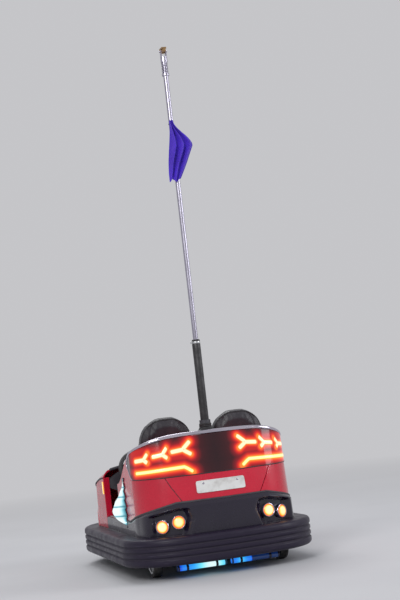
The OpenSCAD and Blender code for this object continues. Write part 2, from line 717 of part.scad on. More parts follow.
module sills() {
    r = 16;
    length = entry_rear - entry_front - 2 * fit;
    color(black) for (s = [-1, 1])
        translate([s * (half_w - body_d - side_wall / 2), entry_front + fit, body_z])
            rotate([90, 0, 180]) linear_extrude(length) union() {
                translate([-side_wall / 2, 0]) square([side_wall, sill_height - r]);
                translate([-side_wall / 2 + r, 0]) square([side_wall - 2 * r, sill_height]);
                for (c = [-1, 1]) translate([c * (side_wall / 2 - r), sill_height - r]) circle(r);
            }
}

// Dashboard and steering
dash_drop = 175;        // height of the dashboard panel
dash_thick = 24;
dash_set = 6;            // how far the dashboard lies under the bonnet's edge
module dash() {
    steps = 14;
    low = deck_z + wing_height - 14;
    side = dash_half - fit;
    top = [for (i = [0:steps]) let (u = mix(-1, 1, i / steps), z = bonnet_z - panel - 10
            + bonnet_crown * (1 - u * u))
        [u * side, mix(low, z, sqrt(1 - pow(abs(u), 5)))]];
    color("#2a2730") translate([0, dash_y - dash_set, 0]) rotate([90, 0, 0])
        linear_extrude(dash_thick) polygon(concat(backward(top),
            [[-side, bonnet_z - dash_drop + 60], [-dash_half * 0.7, bonnet_z - dash_drop],
            [dash_half * 0.7, bonnet_z - dash_drop], [side, bonnet_z - dash_drop + 60]]));
}

steering_dash = [steering_x, dash_y - dash_set, bonnet_z - 95];
steering_dir = [0, cos(steering_tilt), sin(steering_tilt)];
steering_hub = steering_dash + steering_reach * steering_dir;
column_d = 36;
module along_column(distance) translate(steering_dash + distance * steering_dir)
    rotate([steering_tilt - 90, 0, 0]) children();

hub_back = 26;          // from the wheel's middle back to the end of the column
module steering_column() {
    color("slategray") difference() {
        union() {
            along_column(-40) cylinder(d = column_d, h = steering_reach - hub_back + 40);
            along_column(0) translate([0, 0, -10]) cylinder(d = column_d + 34, h = 34);
        }
        translate([steering_x - 100, dash_y - dash_set - 200, 0]) cube([200, 200 + fit, bonnet_z]);
    }
}

module steering_wheel() {
    color(black) along_column(steering_reach) union() {
        rotate_extrude() translate([(steering_wheel_d - rim_d) / 2, 0]) circle(d = rim_d, $fn = 24);
        for (a = [90, 210, 330]) rotate([0, 0, a]) translate([0, -14, -5])
            cube([(steering_wheel_d - rim_d) / 2, 28, 10]);
        translate([0, 0, -hub_back + fit]) cylinder(d = 70, h = hub_back + 14);
    }
}

module pedal() {
    y = drive_y + well_radius + collar_wall + 60;
    color("slategray") translate([steering_x + 60, y, floor_z + mat]) union() {
        translate([-45, -20, 0]) cube([90, 120, 6]);
        translate([-35, 70, 4]) rotate([-28, 0, 0]) mirror([0, 1, 0]) cube([70, 110, 8]);
    }
}

// Pole and contact gear
socket_z = arch_z;      // where the sleeve stands inside the socket
socket_lip = 78;        // how far the socket rises over the deck
pole_foot = socket_z - 290;
module pole_socket() {
    color("dimgray") translate([0, pole_y, 0]) difference() {
        union() {
            translate([0, 0, floor_z]) cylinder(d = post_d, h = socket_z + socket_lip - floor_z);
            translate([0, 0, floor_z]) cylinder(d = post_d + 60, h = 10);
            translate([0, 0, socket_z + fit]) cylinder(d = post_d + 44, h = 8);
        }
        translate([0, 0, pole_foot]) cylinder(d = pole_d + 2 * fit, h = pole_top);
        translate([0, 0, socket_z]) cylinder(d = sleeve_d + 2 * fit, h = pole_top);
    }
}

head_drop = 60;         // from the shoe's top down to the end of the pole
module pole_sleeve() {
    color("#232028") translate([0, pole_y, socket_z + fit]) difference() {
        cylinder(d = sleeve_d, h = sleeve_length);
        translate([0, 0, -1]) cylinder(d = pole_d + 2 * fit, h = sleeve_length + 2);
    }
}

module pole() {
    color("silver") translate([0, pole_y, pole_foot + fit])
        cylinder(d = pole_d, h = pole_top - head_drop - pole_foot - fit);
}

// Limp pennant, with its folds before the pole and to its right as seen from behind
module pennant() {
    rows = 7;
    cols = 12;
    reach = 112;
    function cloth_at(v, u, side) = let (
            left = pole_d / 2 + 38 * ease((1 - v) / 0.9),
            right = v > 0.58 ? mix(reach, 6, ease((v - 0.58) / 0.42)) : mix(14, reach, v / 0.58),
            fold = (14 + 22 * sin(180 * v)) * (1 - cos(1080 * u)) / 2)
        [mix(left, -right, u), pole_y + pole_d / 2 + 1 + fit + fold + side, pennant_top - pennant_height * (1 - v)];
    color("#3a2f9a") wall([for (r = [0:rows]) [for (c = [cols:-1:0]) cloth_at(r / rows, c / cols, 1)]],
        [for (r = [0:rows]) [for (c = [cols:-1:0]) cloth_at(r / rows, c / cols, -1)]]);
}

pin_z = pole_top - 22;
pin_d = 8;
module contact_fork() {
    color("dimgray") translate([0, pole_y, pole_top - head_drop + fit]) difference() {
        union() {
            translate([0, 0, -30]) cylinder(d = pole_d + 12, h = 34);
            for (s = [-1, 1]) translate([s * 15 - 3, -11, 0])
                cube([6, 22, pin_z + 7 - pole_top + head_drop]);
            translate([-18, -11, 0]) cube([36, 22, 6]);
            translate([-20, 0, pin_z - pole_top + head_drop - fit]) rotate([0, 90, 0]) cylinder(d = pin_d, h = 40);
        }
        translate([0, 0, -31]) cylinder(d = pole_d + 0.6, h = 31);
    }
}

module contact_shoe() {
    color("goldenrod") translate([0, pole_y, 0]) difference() {
        union() {
            translate([-10, -30, pin_z - 6]) cube([20, 60, 16]);
            translate([-10, 0, pin_z]) rotate([0, 90, 0]) cylinder(d = 20, h = 20);
            translate([-15, -30, pin_z + 13]) cube([30, 60, pole_top - pin_z - 13]);
            translate([-8, -30, pin_z + 9]) cube([16, 60, 6]);
        }
        translate([-20, 0, pin_z]) rotate([0, 90, 0]) cylinder(d = pin_d + 2 * running, h = 40);
    }
}

// Drive unit: turntable, fork, motor and wheel
drive_axle_z = drive_wheel_d / 2;
arm = 10;
arm_x = drive_wheel_w / 2 + 8;
axle_d = 30;
module drive_fork() {
    color("slategray") translate([0, drive_y, 0]) union() {
        translate([0, 0, collar_top + fit]) cylinder(r = well_radius + collar_wall, h = 10);
        translate([0, 0, collar_top]) cylinder(d = 60, h = 60);
        for (s = [-1, 1]) translate([s > 0 ? arm_x : -arm_x - arm, -35, drive_axle_z - 35])
            cube([arm, 70, collar_top + 2 - drive_axle_z + 35]);
        translate([-arm_x - arm, 0, drive_axle_z]) rotate([0, 90, 0])
            cylinder(d = axle_d, h = 2 * (arm_x + arm));
    }
}

module drive_motor() {
    color("dimgray") translate([arm_x + arm + fit, drive_y, drive_axle_z]) rotate([0, 90, 0])
        cylinder(d = 140, h = 90);
}

module drive_hub() {
    color("silver") translate([0, drive_y, drive_axle_z]) rotate([0, 90, 0]) difference() {
        translate([0, 0, -drive_wheel_w / 2 + 3]) cylinder(d = drive_wheel_d - 60, h = drive_wheel_w - 6);
        translate([0, 0, -100]) cylinder(d = axle_d + 2 * running, h = 200);
    }
}

module tyre(d, w, hub_d) {
    r = d / 2;
    soft = 8;
    rotate([0, 90, 0]) rotate_extrude() polygon([[hub_d / 2 + fit, -w / 2], [r - soft, -w / 2],
        [r, -w / 2 + soft], [r, w / 2 - soft], [r - soft, w / 2], [hub_d / 2 + fit, w / 2]]);
}
module drive_tyre() {
    color(rubber) translate([0, drive_y, drive_axle_z]) tyre(drive_wheel_d, drive_wheel_w, drive_wheel_d - 60);
}

module rear_hub(s) {
    color("silver") translate([s * rear_track / 2, rear_axle_y, axle_z]) rotate([0, 90, 0]) difference() {
        union() {
            translate([0, 0, -rear_wheel_w / 2 + 4]) cylinder(d = rear_wheel_d - 50, h = rear_wheel_w - 8);
            translate([0, 0, -rear_wheel_w / 2 - 4]) cylinder(d = 44, h = rear_wheel_w + 8);
        }
        translate([0, 0, -100]) cylinder(d = stub_d + 2 * running, h = 200);
    }
}
module rear_hub_left() rear_hub(1);
module rear_hub_right() rear_hub(-1);
module rear_tyre(s) {
    color(rubber) translate([s * rear_track / 2, rear_axle_y, axle_z])
        tyre(rear_wheel_d, rear_wheel_w, rear_wheel_d - 50);
}
module rear_tyre_left() rear_tyre(1);
module rear_tyre_right() rear_tyre(-1);

bumper_ring();
bumper_band();
floor_plate();
slewing_ring();
rear_axles();
under_lamp();
floor_mat();
seat_base();
seat_cushion();
seat_back_left();
seat_back_right();
rear_shell();
rear_deck();
tail_lens();
tail_arrows();
amber_lamps();
tail_trim();
rear_valance();
lamp_bezels();
lamp_lenses();
side_lamps();
number_plate();
front_shell();
bonnet();
headlamps();
nose_grille();
sills();
dash();
steering_column();
pedal();
pole_socket();
pole_sleeve();
pole();
pennant();
contact_fork();
drive_fork();
drive_motor();
drive_hub();
drive_tyre();
steering_wheel();
rear_hub_left();
rear_tyre_left();
rear_hub_right();
rear_tyre_right();
contact_shoe();
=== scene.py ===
# %% [markdown]
# A two-seat dodgem car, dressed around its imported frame. The frame holds every solid at its real place,
# so each cell below takes one piece of the car, says what it is made of on the real machine, and gives it
# its final surface. Metres, Z up, the nose towards -Y and the driver's left side towards +X.

# %% Load the frame
from functools import partial
from math import atan2, copysign, cos, dist, exp, hypot, pi, radians, sin, sqrt, tau

import bmesh
import bpy
from mathutils import Matrix, Vector, noise


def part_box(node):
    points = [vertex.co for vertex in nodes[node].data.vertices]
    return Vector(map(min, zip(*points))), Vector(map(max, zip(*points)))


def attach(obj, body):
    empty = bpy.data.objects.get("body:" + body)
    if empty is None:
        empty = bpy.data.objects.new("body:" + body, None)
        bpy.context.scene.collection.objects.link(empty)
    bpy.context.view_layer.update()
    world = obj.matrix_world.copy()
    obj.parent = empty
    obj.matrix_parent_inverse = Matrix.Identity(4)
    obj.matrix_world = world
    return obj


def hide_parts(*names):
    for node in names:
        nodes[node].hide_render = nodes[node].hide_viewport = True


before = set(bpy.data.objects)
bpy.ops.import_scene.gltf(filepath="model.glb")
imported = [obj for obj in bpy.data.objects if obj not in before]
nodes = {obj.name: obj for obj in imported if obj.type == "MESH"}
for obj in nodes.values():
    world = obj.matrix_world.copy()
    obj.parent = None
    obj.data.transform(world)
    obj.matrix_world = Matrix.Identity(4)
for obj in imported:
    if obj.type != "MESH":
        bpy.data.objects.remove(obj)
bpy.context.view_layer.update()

# %% [markdown]
# The outline of the car is four arcs and two straight sides, the same for rubber, steel band and body. A
# station is a point on it with the direction that faces outwards. The driving sizes come from the boxes of
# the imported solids, and only the radii, which no box shows, are repeated here.

# %% The outline in plan
ring_low, ring_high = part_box("bumper_ring")
band_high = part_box("bumper_band")[1]
shell_low, shell_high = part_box("rear_shell")
HALF_W, HALF_L, DECK = ring_high.x, ring_high.y, ring_high.z
RUBBER = HALF_W - band_high.x
BODY_IN = HALF_W - shell_high.x
SIDES = (1, -1)
TAIL_R, TAIL_KNEE = 1.5, radians(12)
NOSE_R, NOSE_KNEE = 0.62, radians(55)


def corner_of(radius, knee):
    return (HALF_W - radius * sin(knee)) / (1 - sin(knee))


TAIL_C, NOSE_C = corner_of(TAIL_R, TAIL_KNEE), corner_of(NOSE_R, NOSE_KNEE)
TAIL_CY = HALF_L - TAIL_R + (TAIL_R - TAIL_C) * cos(TAIL_KNEE)
NOSE_CY = -HALF_L + NOSE_R - (NOSE_R - NOSE_C) * cos(NOSE_KNEE)


def end_station(angle, way, radius, corner, knee, corner_y):
    """Point and outward direction at an angle from the middle of the tail (way 1) or the nose (way -1)."""
    flat = abs(angle) <= knee
    r = radius if flat else corner
    out = Vector((sin(angle), way * cos(angle), 0))
    centre_x = 0 if flat else copysign(HALF_W - corner, angle)
    centre_y = way * (HALF_L - radius) if flat else corner_y
    return Vector((centre_x, centre_y, 0)) + out * r, out


def travel_station(t, way, radius, corner, knee, corner_y):
    """The station at a signed distance t along the body's side from the middle of one end of the car."""
    flat = (radius - BODY_IN) * knee
    full = flat + (corner - BODY_IN) * (pi / 2 - knee)
    far = abs(t)
    side = 1 if t >= 0 else -1
    if far >= full:
        return Vector((side * HALF_W, corner_y - way * (far - full), 0)), Vector((side, 0, 0))
    angle = far / flat * knee if far <= flat else knee + (far - flat) / (corner - BODY_IN)
    return end_station(side * angle, way, radius, corner, knee, corner_y)


tail_station = partial(travel_station, way=1, radius=TAIL_R, corner=TAIL_C, knee=TAIL_KNEE, corner_y=TAIL_CY)
nose_station = partial(travel_station, way=-1, radius=NOSE_R, corner=NOSE_C, knee=NOSE_KNEE, corner_y=NOSE_CY)
TAIL_FLAT = (TAIL_R - BODY_IN) * TAIL_KNEE
TAIL_RUN = TAIL_FLAT + (TAIL_C - BODY_IN) * (pi / 2 - TAIL_KNEE)
NOSE_FLAT = (NOSE_R - BODY_IN) * NOSE_KNEE
NOSE_RUN = NOSE_FLAT + (NOSE_C - BODY_IN) * (pi / 2 - NOSE_KNEE)
print("half car", round(HALF_W, 3), round(HALF_L, 3), "runs", round(TAIL_RUN, 3), round(NOSE_RUN, 3))

# %% [markdown]
# Heights along the tail come from the boxes too. The lens is an arch that falls towards its ends, and the
# side wall goes on from it down to the entry. The tail leans forward as it rises, most in the middle, so
# that it keeps upright sides.

# %% Heights and the surface of the tail
lens_low, lens_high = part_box("tail_lens")
sill_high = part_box("sills")[1]
LENS, ARCH = lens_low.z, lens_high.z
ENTRY_REAR, ENTRY_FRONT = shell_low.y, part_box("front_shell")[1].y
REAR_END = TAIL_RUN + TAIL_CY - ENTRY_REAR
LENS_END = TAIL_RUN + 0.028
ARCH_DROP, ARCH_POWER = 0.086, 3.2
QUARTER = DECK + 0.3
VALANCE, STRIP = DECK + 0.185, DECK + 0.084
LEVEL_TO, FALL_OVER, THICKEN_OVER = 0.280, 0.470, 0.15
PANEL, SIDE_WALL = 0.008, 0.040
LEAN = 0.085


def mix(a, b, t):
    return a + (b - a) * t


def clip(t):
    return min(1.0, max(0.0, t))


def ease(t):
    t = clip(t)
    return t * t * (3 - 2 * t)


def rear_top(t):
    t = abs(t)
    if t <= LENS_END:
        return ARCH - ARCH_DROP * (t / LENS_END) ** ARCH_POWER
    return mix(ARCH - ARCH_DROP, QUARTER, ease((t - LENS_END) / (REAR_END - LENS_END)))


def valance_line(t):
    return mix(VALANCE, STRIP, clip((abs(t) - LEVEL_TO) / FALL_OVER))


def rear_thick(t):
    return mix(PANEL, SIDE_WALL, ease((abs(t) - LENS_END) / THICKEN_OVER))


def on_rear(t, z, out=0.0):
    """The point of the tail's surface at distance t from its middle and height z, moved out by out."""
    place, away = tail_station(t)
    lean = LEAN * (max(0, z - DECK) / (ARCH - DECK)) ** 1.7 * mix(0.05, 1, max(0, away.y))
    place = place - away * (BODY_IN + lean - out)
    place.z = z
    return place

# %% [markdown]
# The front is a low wall round the nose with the bonnet curving up from it to the dashboard, a quarter
# ellipse in section. Its rear edge is a shallow crown over the driver's place.

# %% The surface of the front
bonnet_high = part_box("bonnet")[1]
CROWN = 0.042
BONNET = bonnet_high.z - CROWN
DASH_Y = bonnet_high.y - 0.006
DASH_HALF = HALF_W - BODY_IN - SIDE_WALL
NOSE_TOP, WING_TOP = DECK + 0.1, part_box("front_shell")[1].z
FRONT_END = NOSE_RUN + ENTRY_FRONT - NOSE_CY
FRONT_LEAN, BULGE = 0.040, 1.45


def front_top(t):
    return mix(NOSE_TOP, WING_TOP, ease(abs(t) / FRONT_END))


def front_thick(t):
    return mix(PANEL, SIDE_WALL, ease((abs(t) - NOSE_RUN) / THICKEN_OVER))


def on_front(t, z, out=0.0):
    place, away = nose_station(t)
    lean = FRONT_LEAN * ((z - DECK) / (WING_TOP - DECK)) ** 2 * max(0, -away.y)
    place = place - away * (BODY_IN + lean - out)
    place.z = z
    return place


def on_bonnet(t, v, out=0.0):
    """v runs from 0 on top of the nose wall to 1 at the dashboard."""
    foot = on_front(t, front_top(t), out)
    share = t / FRONT_END
    top = BONNET + CROWN * (1 - share ** 2)
    across = 1 - cos(pi / 2 * v) ** BULGE
    rise = sin(pi / 2 * v) ** BULGE
    return Vector((mix(foot.x, (DASH_HALF + out) * share, across), mix(foot.y, DASH_Y, across),
                   mix(foot.z, top + out, rise)))


print("lens from", round(LENS, 3), "to", round(ARCH, 3), "bonnet at", round(BONNET, 3))

# %% [markdown]
# Most pieces are a grid laid on one of those surfaces: a function says where each corner goes. A panel has
# two skins: its grid is extruded once, and each skin is laid on its own surface. A small bevel rounds the
# cut edges, so that they catch the light as moulded edges do.

# %% Helpers for meshes
def closed_out(bm):
    bmesh.ops.remove_doubles(bm, verts=bm.verts, dist=1e-6)
    bmesh.ops.recalc_face_normals(bm, faces=bm.faces)


def bm_grid(place, across, up):
    """A closed tube of quads whose corners are put at place(u, v), with u and v from 0 to 1."""
    bm = bmesh.new()
    bmesh.ops.create_grid(bm, x_segments=across, y_segments=up, size=0.5)
    for vert in bm.verts:
        vert.co = place(vert.co.x + 0.5, vert.co.y + 0.5)
    bmesh.ops.remove_doubles(bm, verts=bm.verts, dist=1e-6)
    bmesh.ops.holes_fill(bm, edges=[e for e in bm.edges if e.is_boundary], sides=0)
    closed_out(bm)
    return bm


def bm_slab(skin, across, up, core=None):
    """A panel whose two skins are laid by skin(u, v, deep); core(u, v) is written on the outer one."""
    bm = bmesh.new()
    bmesh.ops.create_grid(bm, x_segments=across, y_segments=up, size=0.5)
    made = bmesh.ops.extrude_face_region(bm, geom=bm.faces[:])
    second = {item for item in made["geom"] if isinstance(item, bmesh.types.BMVert)}
    layer = bm.verts.layers.float.new("core") if core else None
    for vert in bm.verts:
        u, v = vert.co.x + 0.5, vert.co.y + 0.5
        if core and vert not in second:
            vert[layer] = core(u, v)
        vert.co = skin(u, v, vert in second)
    closed_out(bm)
    return bm


def written(bm, name, value):
    """Writes value(place) on each vertex as an attribute, which a finish reads later."""
    layer = bm.verts.layers.float.new(name)
    for vert in bm.verts:
        vert[layer] = value(vert.co)
    return bm


def scene_object(name, bm):
    """An object of one bmesh, or of a list of them."""
    bm = merged(bm) if isinstance(bm, list) else bm
    mesh = bpy.data.meshes.new(name)
    bm.normal_update()
    bm.to_mesh(mesh)
    bm.free()
    obj = bpy.data.objects.new(name, mesh)
    bpy.context.scene.collection.objects.link(obj)
    return obj


def dressed(obj, material, body="root", stands_for=None):
    """Gives an object its material, and sets what it rides on and stands for."""
    obj.data.materials.append(material)
    obj.data.shade_smooth()
    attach(obj, body)
    if stands_for:
        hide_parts(stands_for)
    return obj


def piece(name, bm, material, body="root", stands_for=None, sharp=35):
    obj = dressed(scene_object(name, bm), material, body, stands_for)
    obj.data.set_sharp_from_angle(angle=radians(sharp))
    return obj


def soften(obj, width, segments, angle):
    mod = obj.modifiers.new("Edges", "BEVEL")
    mod.width = width
    mod.segments = segments
    mod.limit_method = "ANGLE"
    mod.angle_limit = radians(angle)


def applied(obj):
    """Applies what modifiers the object has, so that later steps work on its final mesh."""
    graph = bpy.context.evaluated_depsgraph_get()
    mesh = bpy.data.meshes.new_from_object(obj.evaluated_get(graph))
    obj.modifiers.clear()
    obj.data = mesh
    return obj

# %% Helpers for round pieces
def bm_lathe(profile, steps=48, axis="Z"):
    """Spins an open profile of (radius, height) points round Z, with its poles closed, then turns it."""
    bm = bmesh.new()
    verts = [bm.verts.new((max(r, 0.0), 0, h)) for r, h in profile]
    edges = [bm.edges.new(pair) for pair in zip(verts, verts[1:])]
    bmesh.ops.spin(bm, geom=verts + edges, cent=(0, 0, 0), axis=(0, 0, 1), angle=tau, steps=steps,
                   use_merge=True)
    bmesh.ops.remove_doubles(bm, verts=bm.verts, dist=1e-6)
    bmesh.ops.dissolve_degenerate(bm, edges=bm.edges, dist=1e-7)
    bmesh.ops.recalc_face_normals(bm, faces=bm.faces)
    if axis == "X":
        bmesh.ops.transform(bm, matrix=Matrix.Rotation(pi / 2, 4, "Y"), verts=bm.verts)
    return bm


def ring_profile(inner, outer, low, high):
    """The profile of a plain ring, for the lathe."""
    return [(inner, low), (outer, low), (outer, high), (inner, high), (inner, low)]


def bevelled(bm, edges, width, segments):
    bmesh.ops.bevel(bm, geom=edges, offset=width, segments=segments, profile=0.5, affect="EDGES", material=-1)
    return bm


def bm_box(low, high, bevel=0.0, segments=2):
    bm = bmesh.new()
    bmesh.ops.create_cube(bm, size=1)
    for vert in bm.verts:
        vert.co = Vector((mix(low[i], high[i], vert.co[i] + 0.5) for i in range(3)))
    return bevelled(bm, bm.edges, bevel, segments) if bevel else bm


def moved(bm, offset):
    bmesh.ops.translate(bm, verts=bm.verts, vec=offset)
    return bm


def place_on(bm, point, away, spin=0.0):
    """Moves what was modelled round the origin to a point, with its Z turned to face away."""
    matrix = (Matrix.Translation(Vector(point)) @ Vector(away).to_track_quat("Z", "Y").to_matrix().to_4x4()
              @ Matrix.Rotation(spin, 4, "Z"))
    bmesh.ops.transform(bm, matrix=matrix, verts=bm.verts)
    return bm


def bm_bar(start, end, radius, steps):
    """A closed round bar between two points."""
    start, end = Vector(start), Vector(end)
    bm = bmesh.new()
    bmesh.ops.create_cone(bm, cap_ends=True, segments=steps, radius1=radius, radius2=radius,
                          depth=(end - start).length)
    return place_on(bm, (start + end) / 2, end - start)


def merged(parts):
    """Puts several bmeshes in one."""
    whole = bmesh.new()
    scratch = bpy.data.meshes.new("scratch")
    for bm in parts:
        bm.to_mesh(scratch)
        bm.free()
        whole.from_mesh(scratch)
    bpy.data.meshes.remove(scratch)
    return whole


def bm_bolt(point, away, size, spin=0.0):
    """A hexagon bolt head on its washer."""
    washer = bm_lathe([(0, 0), (size * 1.25, 0), (size * 1.25, size * 0.2), (0, size * 0.2)], 20)
    head = bmesh.new()
    bmesh.ops.create_cone(head, cap_ends=True, segments=6, radius1=size, radius2=size, depth=size * 0.9)
    moved(head, (0, 0, size * 0.65))
    top = [e for e in head.edges if all(v.co.z > size for v in e.verts)]
    return place_on(merged([washer, bevelled(head, top, size * 0.14, 1)]), point, away, spin)


def bolt_circle(centre, radius, count, away, size, phase=0.0):
    """Bolts round a centre in the plane across Z, each turned with its place."""
    bolts = []
    for i in range(count):
        angle = tau * (i + phase) / count
        spot = Vector(centre) + Vector((cos(angle), sin(angle), 0)) * radius
        bolts.append(bm_bolt(spot, away, size, angle))
    return bolts

# %% Helpers for lines on a surface
def surface_normal(on, t, z, step=0.002):
    """Which way a surface faces at a place, from two short steps along it."""
    along = on(t + step, z) - on(t - step, z)
    up = on(t, z + step) - on(t, z - step)
    away = along.cross(up).normalized()
    middle = on(t, z)
    inside = Vector((0, middle.y * 0.55, 0.2))
    return away if away.dot(middle - inside) > 0 else -away


def seat_on(on, t, z, out):
    """A point of a surface, and the way that the surface faces there."""
    return on(t, z, out), surface_normal(on, t, z)


def bm_bead(line, count, radius, squash=0.6, steps=10, ends=True):
    """A closed bead along line(u), which gives a place and the way out of the surface."""
    def place(u, v):
        centre, away = line(u)
        ahead = (line(min(1, u + 1e-3))[0] - line(max(0, u - 1e-3))[0]).normalized()
        side = ahead.cross(away).normalized()
        angle = v * tau
        taper = min(1, 0.15 + (min(u, 1 - u) * count * 0.8) ** 0.5) if ends else 1.0
        return centre + (side * cos(angle) + away * sin(angle) * squash) * radius * taper
    return bm_grid(place, count, steps)


def heading(line, u, reach):
    """Which way line(u) runs, in travel and height."""
    a, b = line(max(0, u - reach)), line(min(1, u + reach))
    return Vector((b[0] - a[0], b[1] - a[1])).normalized()


def round_square(u):
    """The point at share u of the way round a unit square."""
    corner = u * 4 % 4
    along = corner % 1
    return [(along, 0), (1, along), (1 - along, 1), (0, 1 - along)][int(corner) % 4]


def corner_pulled(x, y, half_x, half_y, radius):
    """Pulls a point in the corner square of a rectangle into a quarter circle."""
    dx, dy = max(0, abs(x) - (half_x - radius)), max(0, abs(y) - (half_y - radius))
    if dx > 0 and dy > 0:
        pull = max(dx, dy) / hypot(dx, dy)
        x, y = copysign(half_x - radius + dx * pull, x), copysign(half_y - radius + dy * pull, y)
    return x, y


print("helpers ready for", len(nodes), "nodes")

# %% [markdown]
# The view is the photograph's: low, behind the car and to its left, about eight metres away, and slightly
# tilted, so that the pole leans across the frame. The lens is long enough for car and pole to fill the
# height.

# %% Camera
scene = bpy.context.scene


def aimed(place, target):
    """The matrix of a camera or lamp at a place that looks at a target."""
    place = Vector(place)
    return Matrix.Translation(place) @ (Vector(target) - place).to_track_quat("-Z", "Y").to_matrix().to_4x4()


eye = Vector((2.205, 8.590, 1.035))
aim = Vector((-0.055, 0.662, 1.600))
LENS_MM, ROLL = 82.4, radians(-6.5)
camera_data = bpy.data.cameras.new("Camera")
camera_data.lens = LENS_MM
camera_data.sensor_width = 36
camera = bpy.data.objects.new("Camera", camera_data)
scene.collection.objects.link(camera)
camera.matrix_world = aimed(eye, aim) @ Matrix.Rotation(ROLL, 4, "Z")
scene.camera = camera
scene.view_settings.view_transform = "Standard"
print("camera", round((eye.xy - aim.xy).length, 2), "m behind the tail")

# %% [markdown]
# Each finish is a Principled shader with patterns in metres, read from Object coordinates. As every piece
# stands at the origin, a pattern runs on from panel to panel. The class below keeps the node work short.

# %% A finish and its patterns
def scaled(colour, factor, lift=0.0):
    """A colour made darker or lighter, and lifted towards grey."""
    return tuple(min(1, c * factor + lift) for c in colour)


class Finish:
    def __init__(self, name, colour, rough=0.5, metal=0.0, sockets=None):
        self.mat = bpy.data.materials.new(name)
        self.mat.use_nodes = True
        self.mat.diffuse_color = (*colour, 1)
        self.tree = self.mat.node_tree
        self.shader = self.tree.nodes["Principled BSDF"]
        self.place = self.add("ShaderNodeTexCoord").outputs["Object"]
        self.normal = None
        plain = {"Base Color": (*colour, 1), "Roughness": rough, "Metallic": metal, **(sockets or {})}
        for socket, value in plain.items():
            self.shader.inputs[socket].default_value = value

    def add(self, kind, **settings):
        node = self.tree.nodes.new(kind)
        for key, value in settings.items():
            setattr(node, key, value)
        return node

    def feed(self, node, socket, value):
        target = node.inputs[socket]
        if isinstance(value, bpy.types.NodeSocket):
            self.tree.links.new(value, target)
        else:
            target.default_value = value

    def set(self, socket, value):
        self.feed(self.shader, socket, value)
        return self

    def stretched(self, stretch):
        if not stretch:
            return self.place
        node = self.add("ShaderNodeMapping")
        self.feed(node, "Vector", self.place)
        node.inputs["Scale"].default_value = stretch
        return node.outputs["Vector"]

    def noise(self, scale, detail=3.0, rough=0.55, stretch=None):
        node = self.add("ShaderNodeTexNoise")
        self.feed(node, "Vector", self.stretched(stretch))
        for socket, value in (("Scale", scale), ("Detail", detail), ("Roughness", rough)):
            node.inputs[socket].default_value = value
        return node.outputs["Fac"]

    def cells(self, scale):
        node = self.add("ShaderNodeTexVoronoi", feature="F1")
        self.feed(node, "Vector", self.place)
        node.inputs["Scale"].default_value = scale
        return node.outputs["Distance"]

    def height(self):
        node = self.add("ShaderNodeSeparateXYZ")
        self.feed(node, "Vector", self.place)
        return node.outputs["Z"]

    def attribute(self, name):
        return self.add("ShaderNodeAttribute", attribute_name=name).outputs["Fac"]

    def span(self, value, low, high, first=0.0, last=1.0):
        node = self.add("ShaderNodeMapRange")
        sockets = ("Value", "From Min", "From Max", "To Min", "To Max")
        for socket, item in zip(sockets, (value, low, high, first, last)):
            self.feed(node, socket, item)
        return node.outputs["Result"]

    def math(self, operation, first, second=0.0):
        node = self.add("ShaderNodeMath", operation=operation)
        self.feed(node, 0, first)
        self.feed(node, 1, second)
        return node.outputs[0]

    def times(self, first, second):
        return self.math("MULTIPLY", first, second)

    def colour(self, value):
        return self.set("Base Color", value)

    def rough(self, value):
        return self.set("Roughness", value)

    def blend(self, share, first, second):
        node = self.add("ShaderNodeMix", data_type="RGBA")
        self.feed(node, "Factor", share)
        for socket, colour in ((6, first), (7, second)):
            self.feed(node, socket, colour if isinstance(colour, bpy.types.NodeSocket) else (*colour, 1))
        return node.outputs[2]

    def ramp(self, value, stops):
        node = self.add("ShaderNodeValToRGB")
        self.feed(node, "Fac", value)
        marks = node.color_ramp.elements
        while len(marks) < len(stops):
            marks.new(0.5)
        for mark, (place, colour) in zip(marks, stops):
            mark.position = place
            mark.color = (*colour, 1)
        return node.outputs["Color"]

    def bump(self, height, depth, strength=1.0):
        node = self.add("ShaderNodeBump")
        node.inputs["Strength"].default_value = strength
        node.inputs["Distance"].default_value = depth
        self.feed(node, "Height", height)
        if self.normal:
            self.feed(node, "Normal", self.normal)
        self.normal = node.outputs["Normal"]
        self.set("Normal", self.normal)
        return self

# %% [markdown]
# The rubber is a black compound, and the violet cast in all its colours is painted light, the tint of violet
# lamps. Knocks have left long pale scuffs, and its grooves stay matt and dusty. The tyres are greyer and
# rougher, from dust off the steel track.

# %% Rubbers
def bumper_rubber():
    # The violet cast of this black, of the pale scuffs and of the groove dust is painted light, not the rubber's
    # own colour
    f = Finish("bumper_rubber", (0.014, 0.009, 0.026), 0.5, sockets={"Specular IOR Level": 0.35})
    scuffs = f.span(f.noise(9, 5, 0.6, stretch=(1, 1, 22)), 0.60, 0.74)
    patches = f.span(f.noise(3.5, 3), 0.38, 0.68)
    marks = f.times(scuffs, patches)
    deep = f.attribute("groove")
    colour = f.blend(marks, (0.014, 0.009, 0.026), (0.070, 0.060, 0.092))
    f.colour(f.blend(f.times(deep, 0.5), colour, (0.034, 0.029, 0.042)))
    rough = f.span(f.noise(14, 4), 0.3, 0.7, 0.34, 0.52)
    f.rough(f.math("ADD", rough, f.times(f.math("MAXIMUM", marks, deep), 0.25)))
    return f.bump(f.noise(60, 4), 0.0009).bump(f.noise(900, 2), 0.00012, 0.6).mat


def tyre_rubber():
    f = Finish("tyre_rubber", (0.040, 0.039, 0.038), 0.75)
    dust = f.span(f.noise(30, 5), 0.42, 0.75)
    f.colour(f.blend(dust, (0.030, 0.029, 0.030), (0.120, 0.112, 0.100)))
    f.rough(f.span(f.noise(45, 3), 0.3, 0.7, 0.6, 0.85))
    return f.bump(f.noise(320, 3), 0.0003).mat


